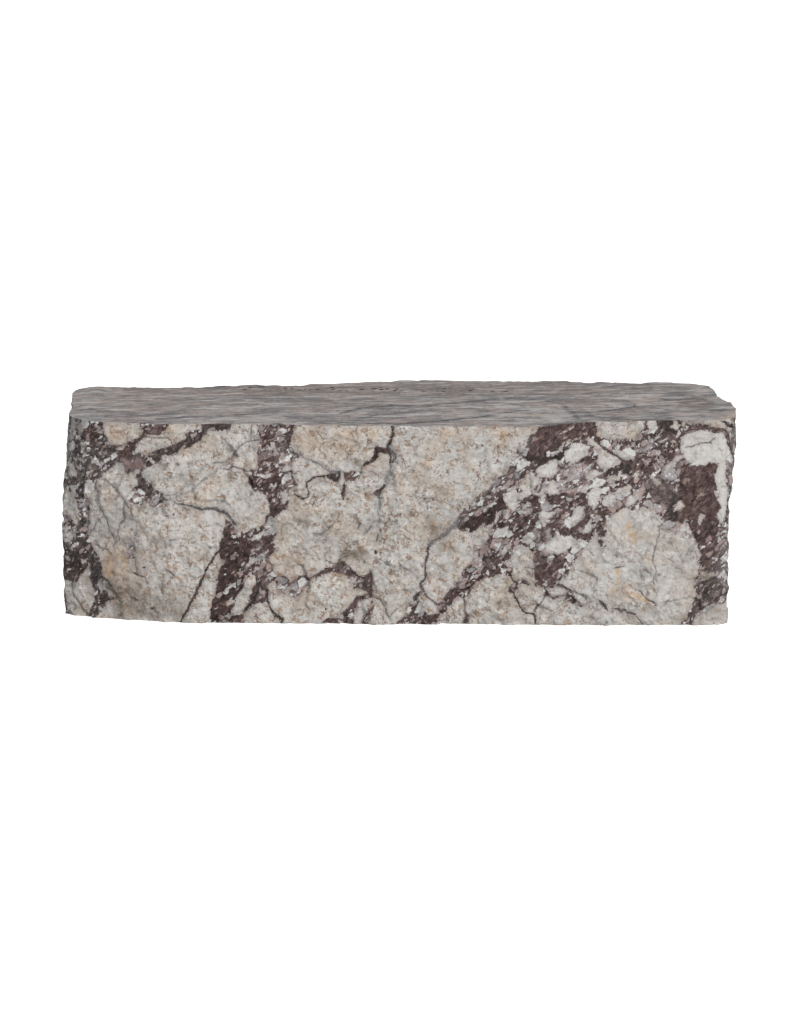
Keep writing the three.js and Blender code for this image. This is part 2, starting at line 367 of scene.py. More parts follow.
# Pale fragments lying over the grounds, as (x, z) outlines, each with its whiteness.
FRAGMENTS = {
    "main band": (
        (0.8, ((-252, 279), (-238, 281), (-226, 279), (-228, 274), (-240, 272), (-250, 274))),
        (0.9, ((-239, 329), (-225, 331), (-230, 319))),
        (0.2, ((-230, 336), (-221, 338), (-219, 326), (-226, 322))),
        (0.7, ((-215, 286), (-207, 292), (-197, 293), (-196, 286), (-205, 282), (-214, 281))),
        (0.6, ((-239, 302), (-234, 300), (-231, 290), (-233, 287), (-237, 294))),
        (0.7, ((-235, 260), (-229, 263), (-221, 259), (-223, 256), (-231, 256))),
        (0.3, (
            (-268, 92), (-257, 87), (-256, 80), (-264, 68), (-265, 55), (-272, 44), (-281, 24),
            (-290, 17), (-305, 15), (-307, 22), (-300, 32), (-292, 52), (-286, 64), (-280, 72),
            (-275, 82),
        )),
        (0.4, ((-304, 48), (-298, 52), (-300, 42), (-308, 34), (-310, 38))),
        (0.6, (
            (-268, 126), (-259, 128), (-260, 120), (-263, 111), (-270, 107), (-276, 110), (-271, 118),
        )),
        (1.0, ((-240, 183), (-236, 187), (-229, 182), (-233, 176), (-239, 176))),
        (0.3, ((-274, 159), (-258, 166), (-243, 172), (-238, 168), (-250, 160), (-264, 155))),
        (0.2, ((-290, 176), (-286, 179), (-284, 165), (-292, 162))),
        (0.7, ((-259, 106), (-253, 107), (-252, 102), (-258, 101))),
        (0.6, ((-212, 205), (-204, 203), (-203, 196), (-212, 198))),
        (0.3, ((-215, 246), (-203, 247), (-200, 236), (-205, 222), (-211, 222), (-213, 236))),
        (0.3, ((-238, 72), (-229, 80), (-220, 74), (-226, 60), (-235, 62))),
    ),
    "corner": (
        (0.5, ((-503, 323), (-496, 328), (-488, 332), (-489, 328), (-497, 321))),
        (0.7, ((-568, 339), (-563, 342), (-561, 332), (-562, 318), (-565, 319), (-566, 330))),
        (0.4, ((-571, 366), (-562, 367), (-563, 354), (-570, 354))),
        (0.4, ((-530, 324), (-527, 324), (-534, 314), (-537, 315))),
        (0.5, ((-576, 309), (-566, 306), (-559, 302), (-561, 298), (-572, 301))),
        (0.4, ((-579, 296), (-574, 292), (-564, 289), (-565, 286), (-576, 289))),
        (0.3, ((-548, 306), (-540, 304), (-538, 297), (-546, 297))),
        (0.1, ((-591, 296), (-584, 292), (-574, 281), (-573, 273), (-588, 274))),
        (0.6, ((-579, 356), (-575, 362), (-573, 352), (-577, 340), (-580, 344))),
        (0.4, ((-450, 309), (-444, 308), (-437, 300), (-440, 298))),
        (0.3, ((-598, 186), (-591, 180), (-592, 170), (-598, 166))),
        (0.8, ((-584, 180), (-578, 178), (-577, 164), (-580, 159), (-584, 166))),
        (0.5, ((-592, 142), (-584, 150), (-580, 155), (-579, 149), (-588, 139))),
        (0.3, ((-601, 128), (-594, 126), (-592, 117), (-599, 119))),
        (0.3, ((-571, 121), (-563, 121), (-562, 117), (-568, 114))),
        (0.5, ((-543, 34), (-536, 33), (-536, 26), (-542, 27))),
        (0.1, (
            (-533, 84), (-529, 82), (-526, 72), (-518, 63), (-518, 54), (-523, 49), (-525, 53),
            (-522, 62), (-530, 70),
        )),
        (0.2, ((-92, 86), (-84, 90), (-79, 86), (-80, 79), (-88, 78))),
    ),
    "breccia": (
        (0.9, (
            (243, 285), (254, 293), (265, 296), (270, 301), (277, 301), (281, 292), (281, 280),
            (269, 269), (256, 274), (246, 275),
        )),
        (0.3, (
            (212, 255), (222, 267), (226, 275), (232, 282), (243, 276), (251, 268), (246, 257),
            (238, 242), (225, 234), (212, 226), (211, 240), (219, 246),
        )),
        (0.75, ((185, 240), (199, 251), (204, 255), (210, 244), (210, 222), (203, 208), (187, 220))),
        (0.8, ((241, 246), (254, 248), (262, 239), (252, 232))),
        (0.7, ((254, 251), (273, 266), (278, 264), (280, 251), (286, 243), (269, 239))),
        (0.7, ((227, 213), (230, 225), (236, 218))),
        (0.5, ((248, 205), (260, 209), (281, 209), (270, 198), (262, 193), (258, 179), (251, 190))),
        (0.7, ((166, 190), (171, 204), (179, 204), (171, 188))),
        (0.6, ((184, 195), (189, 213), (199, 202), (192, 194))),
        (0.5, ((219, 152), (222, 163), (230, 170), (239, 169), (236, 150))),
        (0.3, ((176, 131), (190, 149), (199, 150), (200, 140), (188, 130))),
        (0.9, (
            (260, 150), (270, 160), (281, 174), (289, 165), (296, 163), (306, 168), (319, 154),
            (304, 143), (294, 135), (283, 130), (262, 134),
        )),
        (0.1, (
            (200, 137), (210, 148), (219, 149), (239, 134), (240, 97), (240, 76), (233, 74), (226, 82),
            (202, 85), (200, 104), (191, 107), (189, 115), (199, 124),
        )),
        (0.2, ((207, 60), (218, 75), (234, 75), (254, 65), (258, 50), (245, 26), (228, 22), (218, 35))),
        (0.3, ((260, 65), (276, 69), (287, 70), (305, 62), (299, 52), (275, 54))),
        (0.2, ((252, 48), (290, 48), (306, 38), (333, 8), (334, -8), (246, -8), (247, 20))),
        (0.85, (
            (291, 320), (299, 328), (312, 334), (337, 330), (331, 313), (318, 301), (306, 297),
            (294, 305),
        )),
        (0.6, ((268, 305), (279, 322), (292, 337), (295, 336), (284, 318))),
        (0.4, ((286, 351), (303, 362), (309, 366), (306, 360))),
        (0.6, ((324, 351), (327, 355), (331, 353), (326, 348))),
        (0.6, ((212, 324), (223, 339), (228, 340), (218, 314))),
        (0.35, (
            (328, 342), (337, 344), (361, 328), (371, 316), (395, 302), (387, 296), (364, 284),
            (345, 301), (351, 308), (349, 324),
        )),
        (0.35, ((375, 325), (397, 320), (418, 308), (402, 302), (379, 317))),
        (0.1, (
            (349, 394), (351, 360), (349, 346), (376, 341), (402, 343), (416, 338), (420, 349),
            (434, 362), (434, 394),
        )),
        (0.3, ((438, 366), (438, 394), (449, 394), (455, 364), (443, 356))),
        (0.45, ((326, 273), (343, 285), (351, 287), (362, 280), (346, 272), (331, 267))),
        (0.3, ((315, 246), (332, 258), (339, 253), (329, 244))),
        (0.55, ((334, 241), (347, 254), (360, 252), (358, 236), (346, 209), (337, 220))),
        (0.85, ((360, 226), (367, 238), (376, 240), (385, 238), (380, 225), (370, 217))),
        (0.6, ((404, 220), (411, 240), (428, 240), (422, 226), (411, 217))),
        (0.4, ((424, 221), (433, 238), (437, 236))),
        (0.2, ((420, 245), (435, 256), (440, 249))),
        (0.15, ((413, 273), (422, 282), (429, 278), (422, 266))),
        (0.35, ((369, 266), (379, 276), (387, 269), (375, 260))),
        (0.45, ((387, 262), (388, 280), (397, 290), (395, 273))),
        (0.4, ((388, 242), (406, 258), (415, 253), (405, 242))),
        (0.75, ((307, 181), (306, 202), (313, 217), (329, 219), (326, 200), (316, 189))),
        (0.6, ((324, 171), (331, 185), (345, 197), (343, 179), (331, 169))),
        (0.4, ((316, 168), (328, 186), (321, 171))),
        (0.9, (
            (494, 336), (509, 351), (531, 356), (556, 353), (572, 353), (582, 340), (577, 288),
            (583, 248), (583, 222), (577, 184), (566, 202), (572, 218), (562, 241), (565, 251),
            (558, 279), (566, 298), (543, 295), (513, 300), (500, 314),
        )),
        (0.3, ((462, 272), (474, 294), (499, 314), (502, 308), (484, 292))),
        (0.55, ((479, 365), (487, 380), (496, 365), (489, 357))),
        (0.5, ((501, 366), (503, 380), (514, 380), (506, 358))),
        (0.15, ((514, 372), (514, 394), (590, 394), (588, 356), (573, 362), (538, 370))),
        (0.9, ((530, 198), (537, 208), (543, 206), (536, 182))),
        (0.3, ((488, 210), (496, 226), (502, 229), (508, 218), (496, 211))),
        (0.6, ((487, 249), (493, 255), (495, 245))),
        (0.2, ((445, 276), (465, 265), (460, 255))),
        (0.3, ((441, 226), (452, 234), (453, 228))),
        (0.6, ((459, 300), (469, 304), (469, 296))),
        (0.2, ((531, 236), (551, 250), (543, 241))),
        (0.5, ((440, 335), (459, 350), (471, 355), (451, 339))),
        (0.5, ((431, 312), (447, 329), (460, 334), (441, 318))),
        (0.3, ((446, 311), (463, 320), (464, 314))),
        (0.5, ((474, 322), (484, 329), (486, 325))),
        (0.4, ((459, 336), (467, 343), (464, 334))),
        (0.5, ((475, 334), (484, 338), (490, 334))),
        (0.1, ((540, 100), (560, 99), (567, 95), (556, 82), (545, 82))),
        (0.1, ((600, 42), (574, 40), (556, 30), (536, 16), (520, -8), (600, -8))),
        (0.35, (
            (284, 75), (291, 90), (302, 97), (309, 112), (332, 144), (350, 176), (357, 151), (361, 136),
            (366, 144), (368, 178), (373, 199), (391, 212), (402, 217), (412, 209), (427, 212),
            (453, 212), (461, 200), (484, 175), (493, 167), (503, 187), (517, 185), (529, 152),
            (537, 130), (533, 91), (526, 73), (533, 58), (528, 38), (505, -8), (386, -8), (372, 14),
            (356, 24), (335, 30), (318, 44), (310, 65), (291, 72),
        )),
    ),
}

# Veins and cracks on the front: darkness, greyness, then (x, z, half width) along the line.
VEINS = {
    "straight vein": (0.7, 0.15, (
        (-318, 147, 2.6), (-330, 132, 2.2), (-339, 116, 2.4), (-350, 97, 2.4), (-359, 79, 2.6),
        (-369, 55, 3.4), (-378, 34, 2.6), (-388, 15, 2.6), (-396, -5, 2.8),
    )),
    "bowed vein": (0.55, 0.8, (
        (-396, 222, 0.8), (-380, 221, 1.4), (-367, 218, 2.2), (-355, 215, 3.2), (-328, 214, 3.4),
        (-317, 208, 3.0), (-308, 201, 2.2), (-301, 194, 2.0), (-294, 186, 3.0),
    )),
    "upper hairline": (0.3, 0.5, (
        (-250, 341, 1.8), (-259, 339, 1.4), (-270, 336, 1.2), (-280, 333, 1.0), (-288, 328, 1.4),
        (-294, 316, 1.4), (-298, 308, 1.8), (-306, 304, 1.2), (-315, 299, 1.0), (-331, 298, 0.6),
    )),
    "lower hairline": (0.15, 0.6, (
        (-342, 294, 0.6), (-356, 285, 0.8), (-366, 273, 0.8), (-378, 259, 0.8), (-387, 249, 0.8),
        (-401, 240, 1.0), (-417, 238, 1.0), (-427, 241, 1.4),
    )),
    "twin hairline": (0.1, 0.7, (
        (-326, 287, 1.0), (-336, 280, 0.8), (-346, 271, 0.8), (-356, 262, 0.8), (-370, 250, 0.6),
        (-384, 240, 0.8), (-396, 238, 0.8),
    )),
    "corner rise": (0.4, 0.6, ((-265, 344, 0.6), (-263, 358, 0.8), (-257, 394, 0.8))),
    "corner fork": (0.4, 0.3, (
        (-254, 287, 1.4), (-262, 286, 2.0), (-269, 283, 1.2), (-280, 286, 0.8), (-290, 288, 1.0),
        (-296, 293, 2.4), (-304, 289, 1.0), (-314, 288, 0.8),
    )),
    "column fork": (0.5, 0.4, (
        (-206, 344, 1.2), (-196, 318, 1.4), (-186, 316, 3.0), (-180, 312, 2.0), (-188, 308, 1.4),
    )),
    "brown hook": (0.3, 0.05, (
        (-534, 270, 1.0), (-519, 262, 1.0), (-506, 254, 1.4), (-497, 242, 1.2), (-491, 229, 1.6),
        (-491, 211, 2.2), (-494, 197, 2.0), (-500, 188, 1.8), (-503, 176, 1.8), (-508, 160, 1.6),
        (-506, 152, 1.2),
    )),
    "left outline": (0.25, 0.7, (
        (-541, 252, 3.0), (-541, 240, 3.4), (-541, 226, 3.2), (-534, 213, 3.4), (-526, 203, 1.6),
        (-536, 196, 1.4), (-543, 186, 1.2), (-546, 178, 1.6), (-552, 174, 2.6),
    )),
    "inner outline": (0.3, 0.4, (
        (-526, 203, 1.2), (-521, 190, 1.2), (-518, 172, 1.6), (-511, 160, 1.6), (-509, 150, 1.4),
        (-514, 144, 1.2),
    )),
    "inner tail": (0.3, 0.3, ((-546, 150, 1.6), (-536, 145, 1.2), (-524, 138, 1.2), (-517, 129, 1.4))),
    "patch link": (0.6, 0.2, ((-456, 352, 2.5), (-462, 344, 2.5), (-470, 336, 3.0), (-480, 334, 2.5))),
    "clast seam": (0.4, 0.3, (
        (-450, 347, 1.2), (-440, 344, 1.0), (-428, 344, 1.0), (-412, 345, 1.0), (-407, 338, 1.0),
        (-405, 331, 1.2),
    )),
    "left lower crack": (0.4, 0.1, (
        (-588, 82, 2.0), (-587, 65, 1.4), (-585, 54, 1.8), (-579, 46, 1.6), (-574, 38, 2.4),
        (-571, 28, 1.6), (-562, 20, 1.6),
    )),
    "pale shoulder": (0.3, 0.7, (
        (-425, 236, 2.5), (-417, 229, 1.6), (-408, 231, 1.2), (-396, 222, 1.2),
    )),
    "faint seam": (0.25, 0.2, (
        (-431, 158, 0.6), (-420, 160, 0.7), (-409, 156, 0.6), (-396, 159, 0.6), (-383, 158, 0.5),
        (-372, 151, 0.5),
    )),
    "flank crack": (0.6, 0.1, ((-478, 97, 1.0), (-469, 92, 1.4), (-460, 88, 1.0), (-455, 78, 0.8))),
    "flank tick": (0.5, 0.1, ((-420, 102, 1.2), (-413, 97, 1.2), (-405, 89, 0.8))),
    "rust seam": (0.35, 0.0, ((-476, 140, 1.0), (-474, 121, 1.2), (-472, 108, 0.8), (-471, 98, 0.8))),
    "loop": (0.65, 0.25, (
        (-131, 275, 2.4), (-140, 273, 1.8), (-152, 270, 1.8), (-162, 266, 1.8), (-167, 262, 1.6),
        (-165, 253, 1.4), (-162, 244, 1.8), (-164, 235, 2.2), (-173, 231, 2.6), (-180, 237, 2.0),
        (-187, 240, 1.5),
    )),
    "hairline fan": (0.4, 0.8, (
        (-176, 315, 0.5), (-167, 306, 0.6), (-152, 299, 0.8), (-141, 294, 0.9), (-137, 287, 0.8),
        (-124, 283, 0.9), (-108, 283, 0.8), (-100, 281, 1.0),
    )),
    "centre vein": (0.7, 0.3, (
        (-12, 394, 4.5), (-13, 352, 3.4), (-19, 337, 2.6), (-22, 327, 3.0), (-19, 314, 2.4),
        (-18, 300, 2.6), (-17, 288, 2.4), (-22, 277, 1.5),
    )),
    "centre grey": (0.15, 0.9, ((-17, 300, 1.0), (-17, 285, 4.5), (-21, 270, 5.0), (-25, 258, 3.5))),
    "centre side": (0.5, 0.6, ((-14, 320, 2.0), (-9, 312, 2.2), (-12, 300, 1.5), (-6, 299, 1.0))),
    "centre lower": (0.75, 0.2, ((-25, 262, 2.0), (-32, 253, 2.4), (-38, 246, 3.0))),
    "centre fade": (0.1, 0.8, ((-38, 240, 2.5), (-38, 222, 2.6), (-39, 205, 2.0), (-36, 190, 1.5))),
    "centre tail": (0.3, 0.7, ((-36, 171, 1.6), (-41, 161, 1.4), (-43, 151, 1.0))),
    "grey tick": (0.3, 0.8, ((-52, 181, 1.6), (-57, 175, 1.4), (-65, 168, 0.8))),
    "dark tick": (0.6, 0.3, ((-76, 179, 1.2), (-72, 186, 1.2))),
    "rising seam": (0.5, 0.1, (
        (-168, 82, 2.0), (-158, 88, 1.6), (-148, 94, 1.4), (-137, 100, 3.0), (-128, 106, 1.6),
    )),
    "rising spur": (0.5, 0.3, ((-130, 117, 0.8), (-117, 113, 1.0), (-112, 112, 1.6), (-107, 118, 1.4))),
    "lobe rim": (0.6, 0.1, (
        (-90, 92, 1.6), (-85, 98, 2.4), (-80, 97, 2.2), (-76, 90, 2.2), (-70, 86, 2.0),
    )),
    "lobe side": (0.4, 0.2, ((-52, 98, 1.4), (-51, 84, 1.8), (-56, 76, 1.2))),
    "band root": (0.8, 0.2, (
        (-258, 84, 1.2), (-252, 66, 2.5), (-262, 46, 3.4), (-272, 34, 2.6), (-282, 22, 2.0),
    )),
    "arched seam": (0.25, 0.2, (
        (-154, 169, 2.4), (-140, 167, 2.8), (-130, 175, 1.0), (-123, 182, 2.2), (-120, 189, 1.0),
    )),
    "floor twig": (0.7, 0.1, (
        (-238, 62, 2.2), (-238, 52, 2.4), (-234, 36, 2.0), (-230, 24, 2.4), (-226, 17, 4.0),
        (-218, 12, 3.4), (-211, 10, 2.6), (-215, 2, 2.6),
    )),
    "right twig": (0.35, 0.2, (
        (-46, 50, 1.2), (-36, 45, 1.6), (-28, 35, 2.2), (-24, 26, 2.4), (-19, 18, 1.8), (-17, 10, 1.0),
    )),
    "upper seam": (0.35, 0.5, (
        (112, 190, 4.0), (100, 185, 3.0), (88, 176, 3.5), (76, 164, 3.2), (66, 157, 3.2),
        (58, 152, 3.4), (50, 148, 3.0),
    )),
    "descending seam": (0.6, 0.3, (
        (50, 148, 3.0), (47, 138, 3.2), (49, 132, 2.6), (46, 124, 2.6), (45, 112, 1.8), (48, 104, 2.0),
        (46, 92, 2.2), (41, 82, 2.4), (35, 76, 2.6), (40, 66, 2.0), (33, 58, 2.6), (28, 47, 2.8),
    )),
    "seam branch": (0.5, 0.3, (
        (40, 66, 1.5), (46, 57, 4.0), (54, 50, 2.0), (60, 44, 1.5), (64, 38, 1.2), (74, 38, 2.0),
        (86, 36, 3.0),
    )),
    "left link": (0.25, 0.2, ((-13, 19, 1.4), (-6, 28, 1.4), (2, 34, 1.0), (10, 40, 1.0))),
    "short streak": (0.4, 0.1, ((8, 166, 1.2), (13, 162, 1.6), (19, 159, 1.0))),
    "band streak one": (0.3, 0.9, ((112, 196, 0.9), (98, 188, 1.2), (86, 180, 1.0), (74, 170, 0.8))),
    "band streak two": (0.25, 0.9, (
        (208, 306, 0.9), (216, 316, 1.2), (222, 328, 1.0), (232, 344, 0.8),
    )),
    "drop vein": (0.5, 0.3, (
        (116, 50, 1.6), (118, 38, 1.8), (116, 26, 1.0), (119, 14, 3.0), (117, -5, 3.2),
    )),
    "left fork": (0.7, 0.15, (
        (198, 65, 1.5), (199, 60, 1.8), (205, 58, 1.5), (210, 50, 2.2), (214, 40, 1.5), (218, 32, 3.2),
        (225, 23, 1.3), (234, 19, 1.8), (242, 19, 2.6), (245, 11, 2.4), (244, -2, 2.4),
    )),
    "right fork": (0.5, 0.2, (
        (242, 25, 1.6), (248, 32, 2.0), (254, 41, 1.5), (258, 50, 1.3), (261, 54, 2.2), (271, 53, 1.6),
        (276, 51, 1.2), (288, 51, 0.9), (299, 50, 1.0), (303, 58, 1.2), (306, 65, 1.6),
    )),
    "lower lip": (0.45, 0.6, (
        (284, 72, 1.6), (296, 66, 2.0), (308, 64, 1.6), (318, 58, 1.6), (330, 54, 2.4), (334, 48, 2.2),
    )),
    "lip drop": (0.6, 0.4, ((360, 46, 2.0), (365, 38, 4.0), (370, 30, 3.0), (374, 24, 1.2))),
    "foot crack": (0.5, 0.3, (
        (387, 28, 1.2), (400, 26, 3.0), (410, 24, 1.6), (422, 17, 1.4), (434, 3, 1.4),
    )),
    "lens tip": (0.6, 0.1, ((446, 46, 0.8), (452, 42, 1.6), (457, 38, 1.0))),
    "boulder split": (0.3, 0.3, (
        (470, 186, 0.8), (463, 180, 1.0), (464, 167, 1.4), (461, 157, 0.8), (461, 149, 1.0),
        (457, 141, 1.8), (454, 132, 1.4), (454, 120, 1.4), (456, 111, 1.0), (457, 102, 1.2),
        (457, 90, 1.0), (456, 78, 1.0), (457, 64, 1.6),
    )),
    "boulder shelf": (0.5, 0.2, ((384, 104, 0.8), (391, 106, 1.6), (402, 109, 0.8))),
    "wedge edge": (0.5, 0.1, (
        (414, 73, 0.6), (420, 65, 1.0), (429, 64, 0.8), (436, 56, 1.0), (443, 49, 1.2), (450, 45, 1.2),
        (455, 41, 2.2), (458, 40, 0.8),
    )),
    "fork drop": (0.7, 0.1, ((259, 65, 2.2), (262, 60, 2.4), (267, 55, 2.0))),
    "lobe edge": (0.6, 0.2, (
        (283, 72, 2.0), (292, 72, 1.6), (299, 68, 1.6), (306, 66, 2.2), (309, 60, 1.6),
    )),
    "lobe cut": (0.35, 0.6, ((225, 105, 1.0), (232, 106, 1.4), (240, 105, 1.0))),
    "rim drop": (0.9, 0.4, ((562, 380, 0.8), (574, 374, 1.6), (580, 369, 4.0), (590, 367, 4.5))),
    "corner crack": (0.35, 0.2, (
        (510, 326, 1.0), (518, 327, 1.2), (525, 331, 1.3), (538, 334, 1.5), (546, 334, 1.7),
        (554, 341, 1.7), (560, 345, 1.4),
    )),
    "corner rim": (0.5, 0.1, (
        (494, 344, 2.0), (506, 354, 1.6), (514, 356, 1.6), (522, 358, 1.6), (548, 357, 1.2),
        (556, 357, 1.8), (569, 360, 2.4), (578, 358, 2.0), (583, 353, 1.8), (586, 343, 1.8),
        (588, 333, 1.4), (590, 319, 2.0), (592, 306, 2.0), (594, 292, 1.4),
    )),
    "flank streak": (0.5, 0.1, ((578, 283, 0.8), (582, 272, 1.6), (586, 258, 2.0), (588, 242, 1.6))),
    "under the cap": (0.3, 0.1, ((519, 363, 3.0), (530, 362, 4.2), (540, 361, 3.4), (552, 361, 1.6))),
    "shard seam": (0.6, 0.0, (
        (350, 338, 1.5), (362, 328, 3.0), (371, 320, 3.6), (382, 313, 3.0), (389, 309, 1.6),
        (396, 304, 2.2), (403, 301, 1.2),
    )),
    "red seam": (0.25, 0.0, ((345, 299, 1.6), (352, 293, 2.4), (361, 285, 1.2))),
    "beige mark": (0.2, 0.2, ((531, 236, 0.8), (541, 242, 1.6), (551, 247, 0.8))),
}

# Stains: kind, centre x and z, the two radii, the tilt in degrees and the strength. Shade greys
# the stone: mostly as grey stone, and at the ends of the front as painted shade. Specks and clean
# raise and lower its share of brown flecks.
STAINS = (
    ("ochre", 82, 352, 14, 12, 0, 0.55), ("ochre", 60, 325, 16, 16, 30, 0.4),
    ("ochre", 46, 300, 16, 10, 20, 0.5), ("ochre", 185, 350, 12, 14, 0, 0.6),
    ("ochre", 180, 332, 10, 12, 0, 0.5), ("ochre", 208, 354, 6, 10, 0, 0.5),
    ("ochre", 2, 266, 4, 20, 10, 0.8), ("ochre", 26, 322, 14, 10, 0, 0.25),
    ("ochre", -92, 352, 24, 12, 0, 0.5), ("ochre", -47, 350, 8, 12, 0, 0.6),
    ("ochre", -150, 330, 40, 26, 0, 0.25), ("ochre", -95, 325, 40, 24, 0, 0.2),
    ("ochre", -160, 210, 30, 8, 0, 0.4), ("ochre", -522, 99, 9, 14, 20, 0.9),
    ("ochre", -519, 124, 4, 9, 0, 0.8), ("ochre", -494, 115, 5, 12, 0, 0.8),
    ("ochre", -505, 115, 26, 46, 10, 0.4), ("ochre", -500, 350, 30, 14, 0, 0.4),
    ("ochre", -410, 362, 22, 8, 0, 0.5), ("ochre", 410, 182, 6, 12, 0, 0.8),
    ("ochre", 420, 160, 13, 15, -30, 0.85), ("ochre", 391, 92, 5, 18, 4, 0.95),
    ("ochre", 408, 67, 9, 11, -30, 1.0), ("ochre", 425, 54, 15, 6, -40, 1.0),
    ("ochre", 441, 46, 9, 4, -30, 0.9), ("ochre", 412, 50, 4, 7, 0, 0.8),
    ("ochre", 445, 125, 6, 6, 0, 0.4), ("ochre", 384, 62, 6, 9, 0, 0.7),
    ("ochre", 442, 126, 8, 7, 0, 0.45), ("ochre", 460, 70, 10, 8, 0, 0.3),
    ("ochre", 536, 108, 5, 12, 0, 0.4), ("ochre", 355, 348, 12, 5, -20, 0.6),
    ("ochre", 405, 352, 10, 10, 0, 0.3), ("ochre", 532, 72, 8, 14, 0, 0.7),
    ("ochre", 545, 76, 9, 7, 0, 0.6), ("ochre", -345, 245, 22, 20, 0, 0.2),
    ("ochre", -520, 235, 16, 24, 0, 0.3), ("dirt", -490, 42, 40, 36, 0, 0.6),
    ("dirt", -505, 55, 12, 17, 0, 0.95), ("dirt", -503, 16, 8, 9, 0, 1.0),
    ("dirt", -470, 45, 10, 4, 0, 0.8), ("dirt", -562, 84, 8, 20, 20, 0.5),
    ("dirt", -440, 32, 50, 22, 0, 0.55), ("dirt", -510, 326, 12, 6, 10, 0.6),
    ("dirt", -445, 30, 8, 8, 0, 0.6), ("dirt", -395, 25, 30, 20, 0, 0.25),
    ("dirt", 58, 184, 9, 14, 20, 0.75), ("dirt", -99, 126, 10, 9, 20, 1.0),
    ("dirt", -82, 132, 22, 8, -5, 0.85), ("dirt", -112, 207, 13, 7, 15, 0.5),
    ("dirt", -45, 188, 10, 12, 0, 0.35), ("dirt", -176, 192, 16, 5, -5, 0.9),
    ("dirt", -166, 184, 6, 9, 0, 0.8), ("dirt", -130, 150, 30, 16, 0, 0.25),
    ("dirt", 92, 142, 16, 8, 0, 0.4), ("dirt", 10, 103, 18, 6, 0, 0.4),
    ("dirt", -22, 66, 12, 8, 0, 0.4), ("dirt", 195, 8, 14, 8, -20, 0.4),
    ("dirt", 170, 32, 10, 6, 0, 0.4), ("dirt", 399, 26, 8, 5, -10, 1.0),
    ("dirt", 485, 153, 6, 3, -20, 0.9), ("dirt", 418, 12, 20, 10, 0, 0.35),
    ("dirt", 460, 22, 12, 10, 0, 0.35), ("dirt", 552, 92, 16, 11, 0, 0.6),
    ("dirt", 512, 8, 8, 10, 0, 0.8), ("dirt", 560, 20, 34, 20, 20, 0.3),
    ("dirt", 70, 190, 26, 30, 0, 0.15), ("dirt", -395, 296, 5, 3, 0, 0.9),
    ("dirt", -372, 295, 8, 4, 0, 0.6), ("dirt", -420, 292, 10, 9, 0, 0.5),
    ("dirt", -385, 268, 14, 9, 0, 0.4), ("dirt", -318, 314, 7, 4, 0, 0.7),
    ("dirt", -305, 274, 8, 8, 0, 0.5), ("dirt", 478, 274, 30, 16, 0, 0.2),
    ("dirt", 265, 360, 40, 8, 0, 0.35), ("dirt", 128, 105, 8, 10, 0, 0.7),
    ("dirt", 12, 40, 10, 6, 0, 0.3), ("pink", -165, 296, 32, 14, 0, 0.5),
    ("pink", -34, 298, 16, 16, 0, 0.8), ("pink", -48, 276, 22, 10, 20, 0.5),
    ("pink", -505, 342, 34, 16, 0, 0.5), ("pink", -500, 328, 20, 5, 20, 0.6),
    ("pink", 60, 60, 10, 12, 0, 0.5), ("pink", -10, 215, 26, 26, 0, 0.3),
    ("pink", -170, 130, 40, 34, 0, 0.3), ("pink", -440, 130, 40, 40, 0, 0.3),
    ("pink", 508, 322, 14, 8, 0, 0.5), ("pink", 535, 350, 20, 6, 0, 0.4),
    ("pink", 350, 310, 18, 20, 0, 0.5), ("pink", 210, 256, 16, 12, 0, 0.4),
    ("pink", 568, 372, 26, 6, 0, 0.6), ("pink", 8, 250, 6, 14, 0, 0.5),
    ("pink", -200, 100, 20, 20, 0, 0.2), ("shade", -590, 320, 22, 60, 0, 0.5),
    ("shade", -545, 300, 40, 50, 0, 0.25), ("shade", 92, 222, 40, 16, 30, 0.25),
    ("shade", -340, 190, 26, 16, 0, 0.2), ("shade", -515, 180, 24, 30, 0, 0.3),
    ("shade", -510, 228, 22, 26, 0, 0.3), ("shade", -140, 164, 16, 7, -15, 0.5),
    ("shade", -205, 186, 14, 9, 0, 0.8), ("shade", 90, 172, 16, 7, 35, 0.6),
    ("shade", -275, 225, 26, 14, 0, 0.2), ("shade", -60, 190, 20, 20, 0, 0.3),
    ("shade", 384, 38, 14, 9, 0, 0.3), ("shade", 345, 262, 20, 12, 0, 0.3),
    # The shades at (-560, 150) and (-520, 130) and the dirt at (-500, 110) darken the left end of the front,
    # partly for its own beige and partly as painted shade. The long shades at x -592 and 596 are painted
    # shade down the left and right edges of the front.
    ("shade", 195, 266, 26, 16, 40, 0.5), ("shade", -560, 150, 60, 130, 0, 0.25),
    ("dirt", -500, 110, 60, 90, 0, 0.2), ("shade", 596, 200, 14, 190, 0, 1.0),
    ("shade", -520, 130, 60, 110, 0, 0.3), ("shade", -592, 200, 16, 190, 0, 0.5),
    ("shade", 560, 60, 50, 50, 0, 0.35), ("clean", 107, 300, 80, 50, 30, 0.6),
    ("clean", 430, 110, 80, 90, 0, 0.6), ("clean", -285, 215, 45, 30, 0, 0.8),
    ("clean", -362, 176, 35, 26, 0, 0.6), ("clean", -275, 355, 22, 14, 0, 1.0),
    ("clean", 300, 250, 160, 90, 0, 0.7), ("specks", -470, 100, 60, 60, 0, 0.8),
    ("specks", -400, 60, 90, 50, 0, 0.6), ("specks", -60, 200, 60, 50, 0, 0.5),
    ("specks", 30, 200, 70, 60, 0, 0.6), ("specks", -120, 60, 80, 50, 0, 0.5),
    ("specks", 170, 30, 60, 30, 0, 0.5),
)

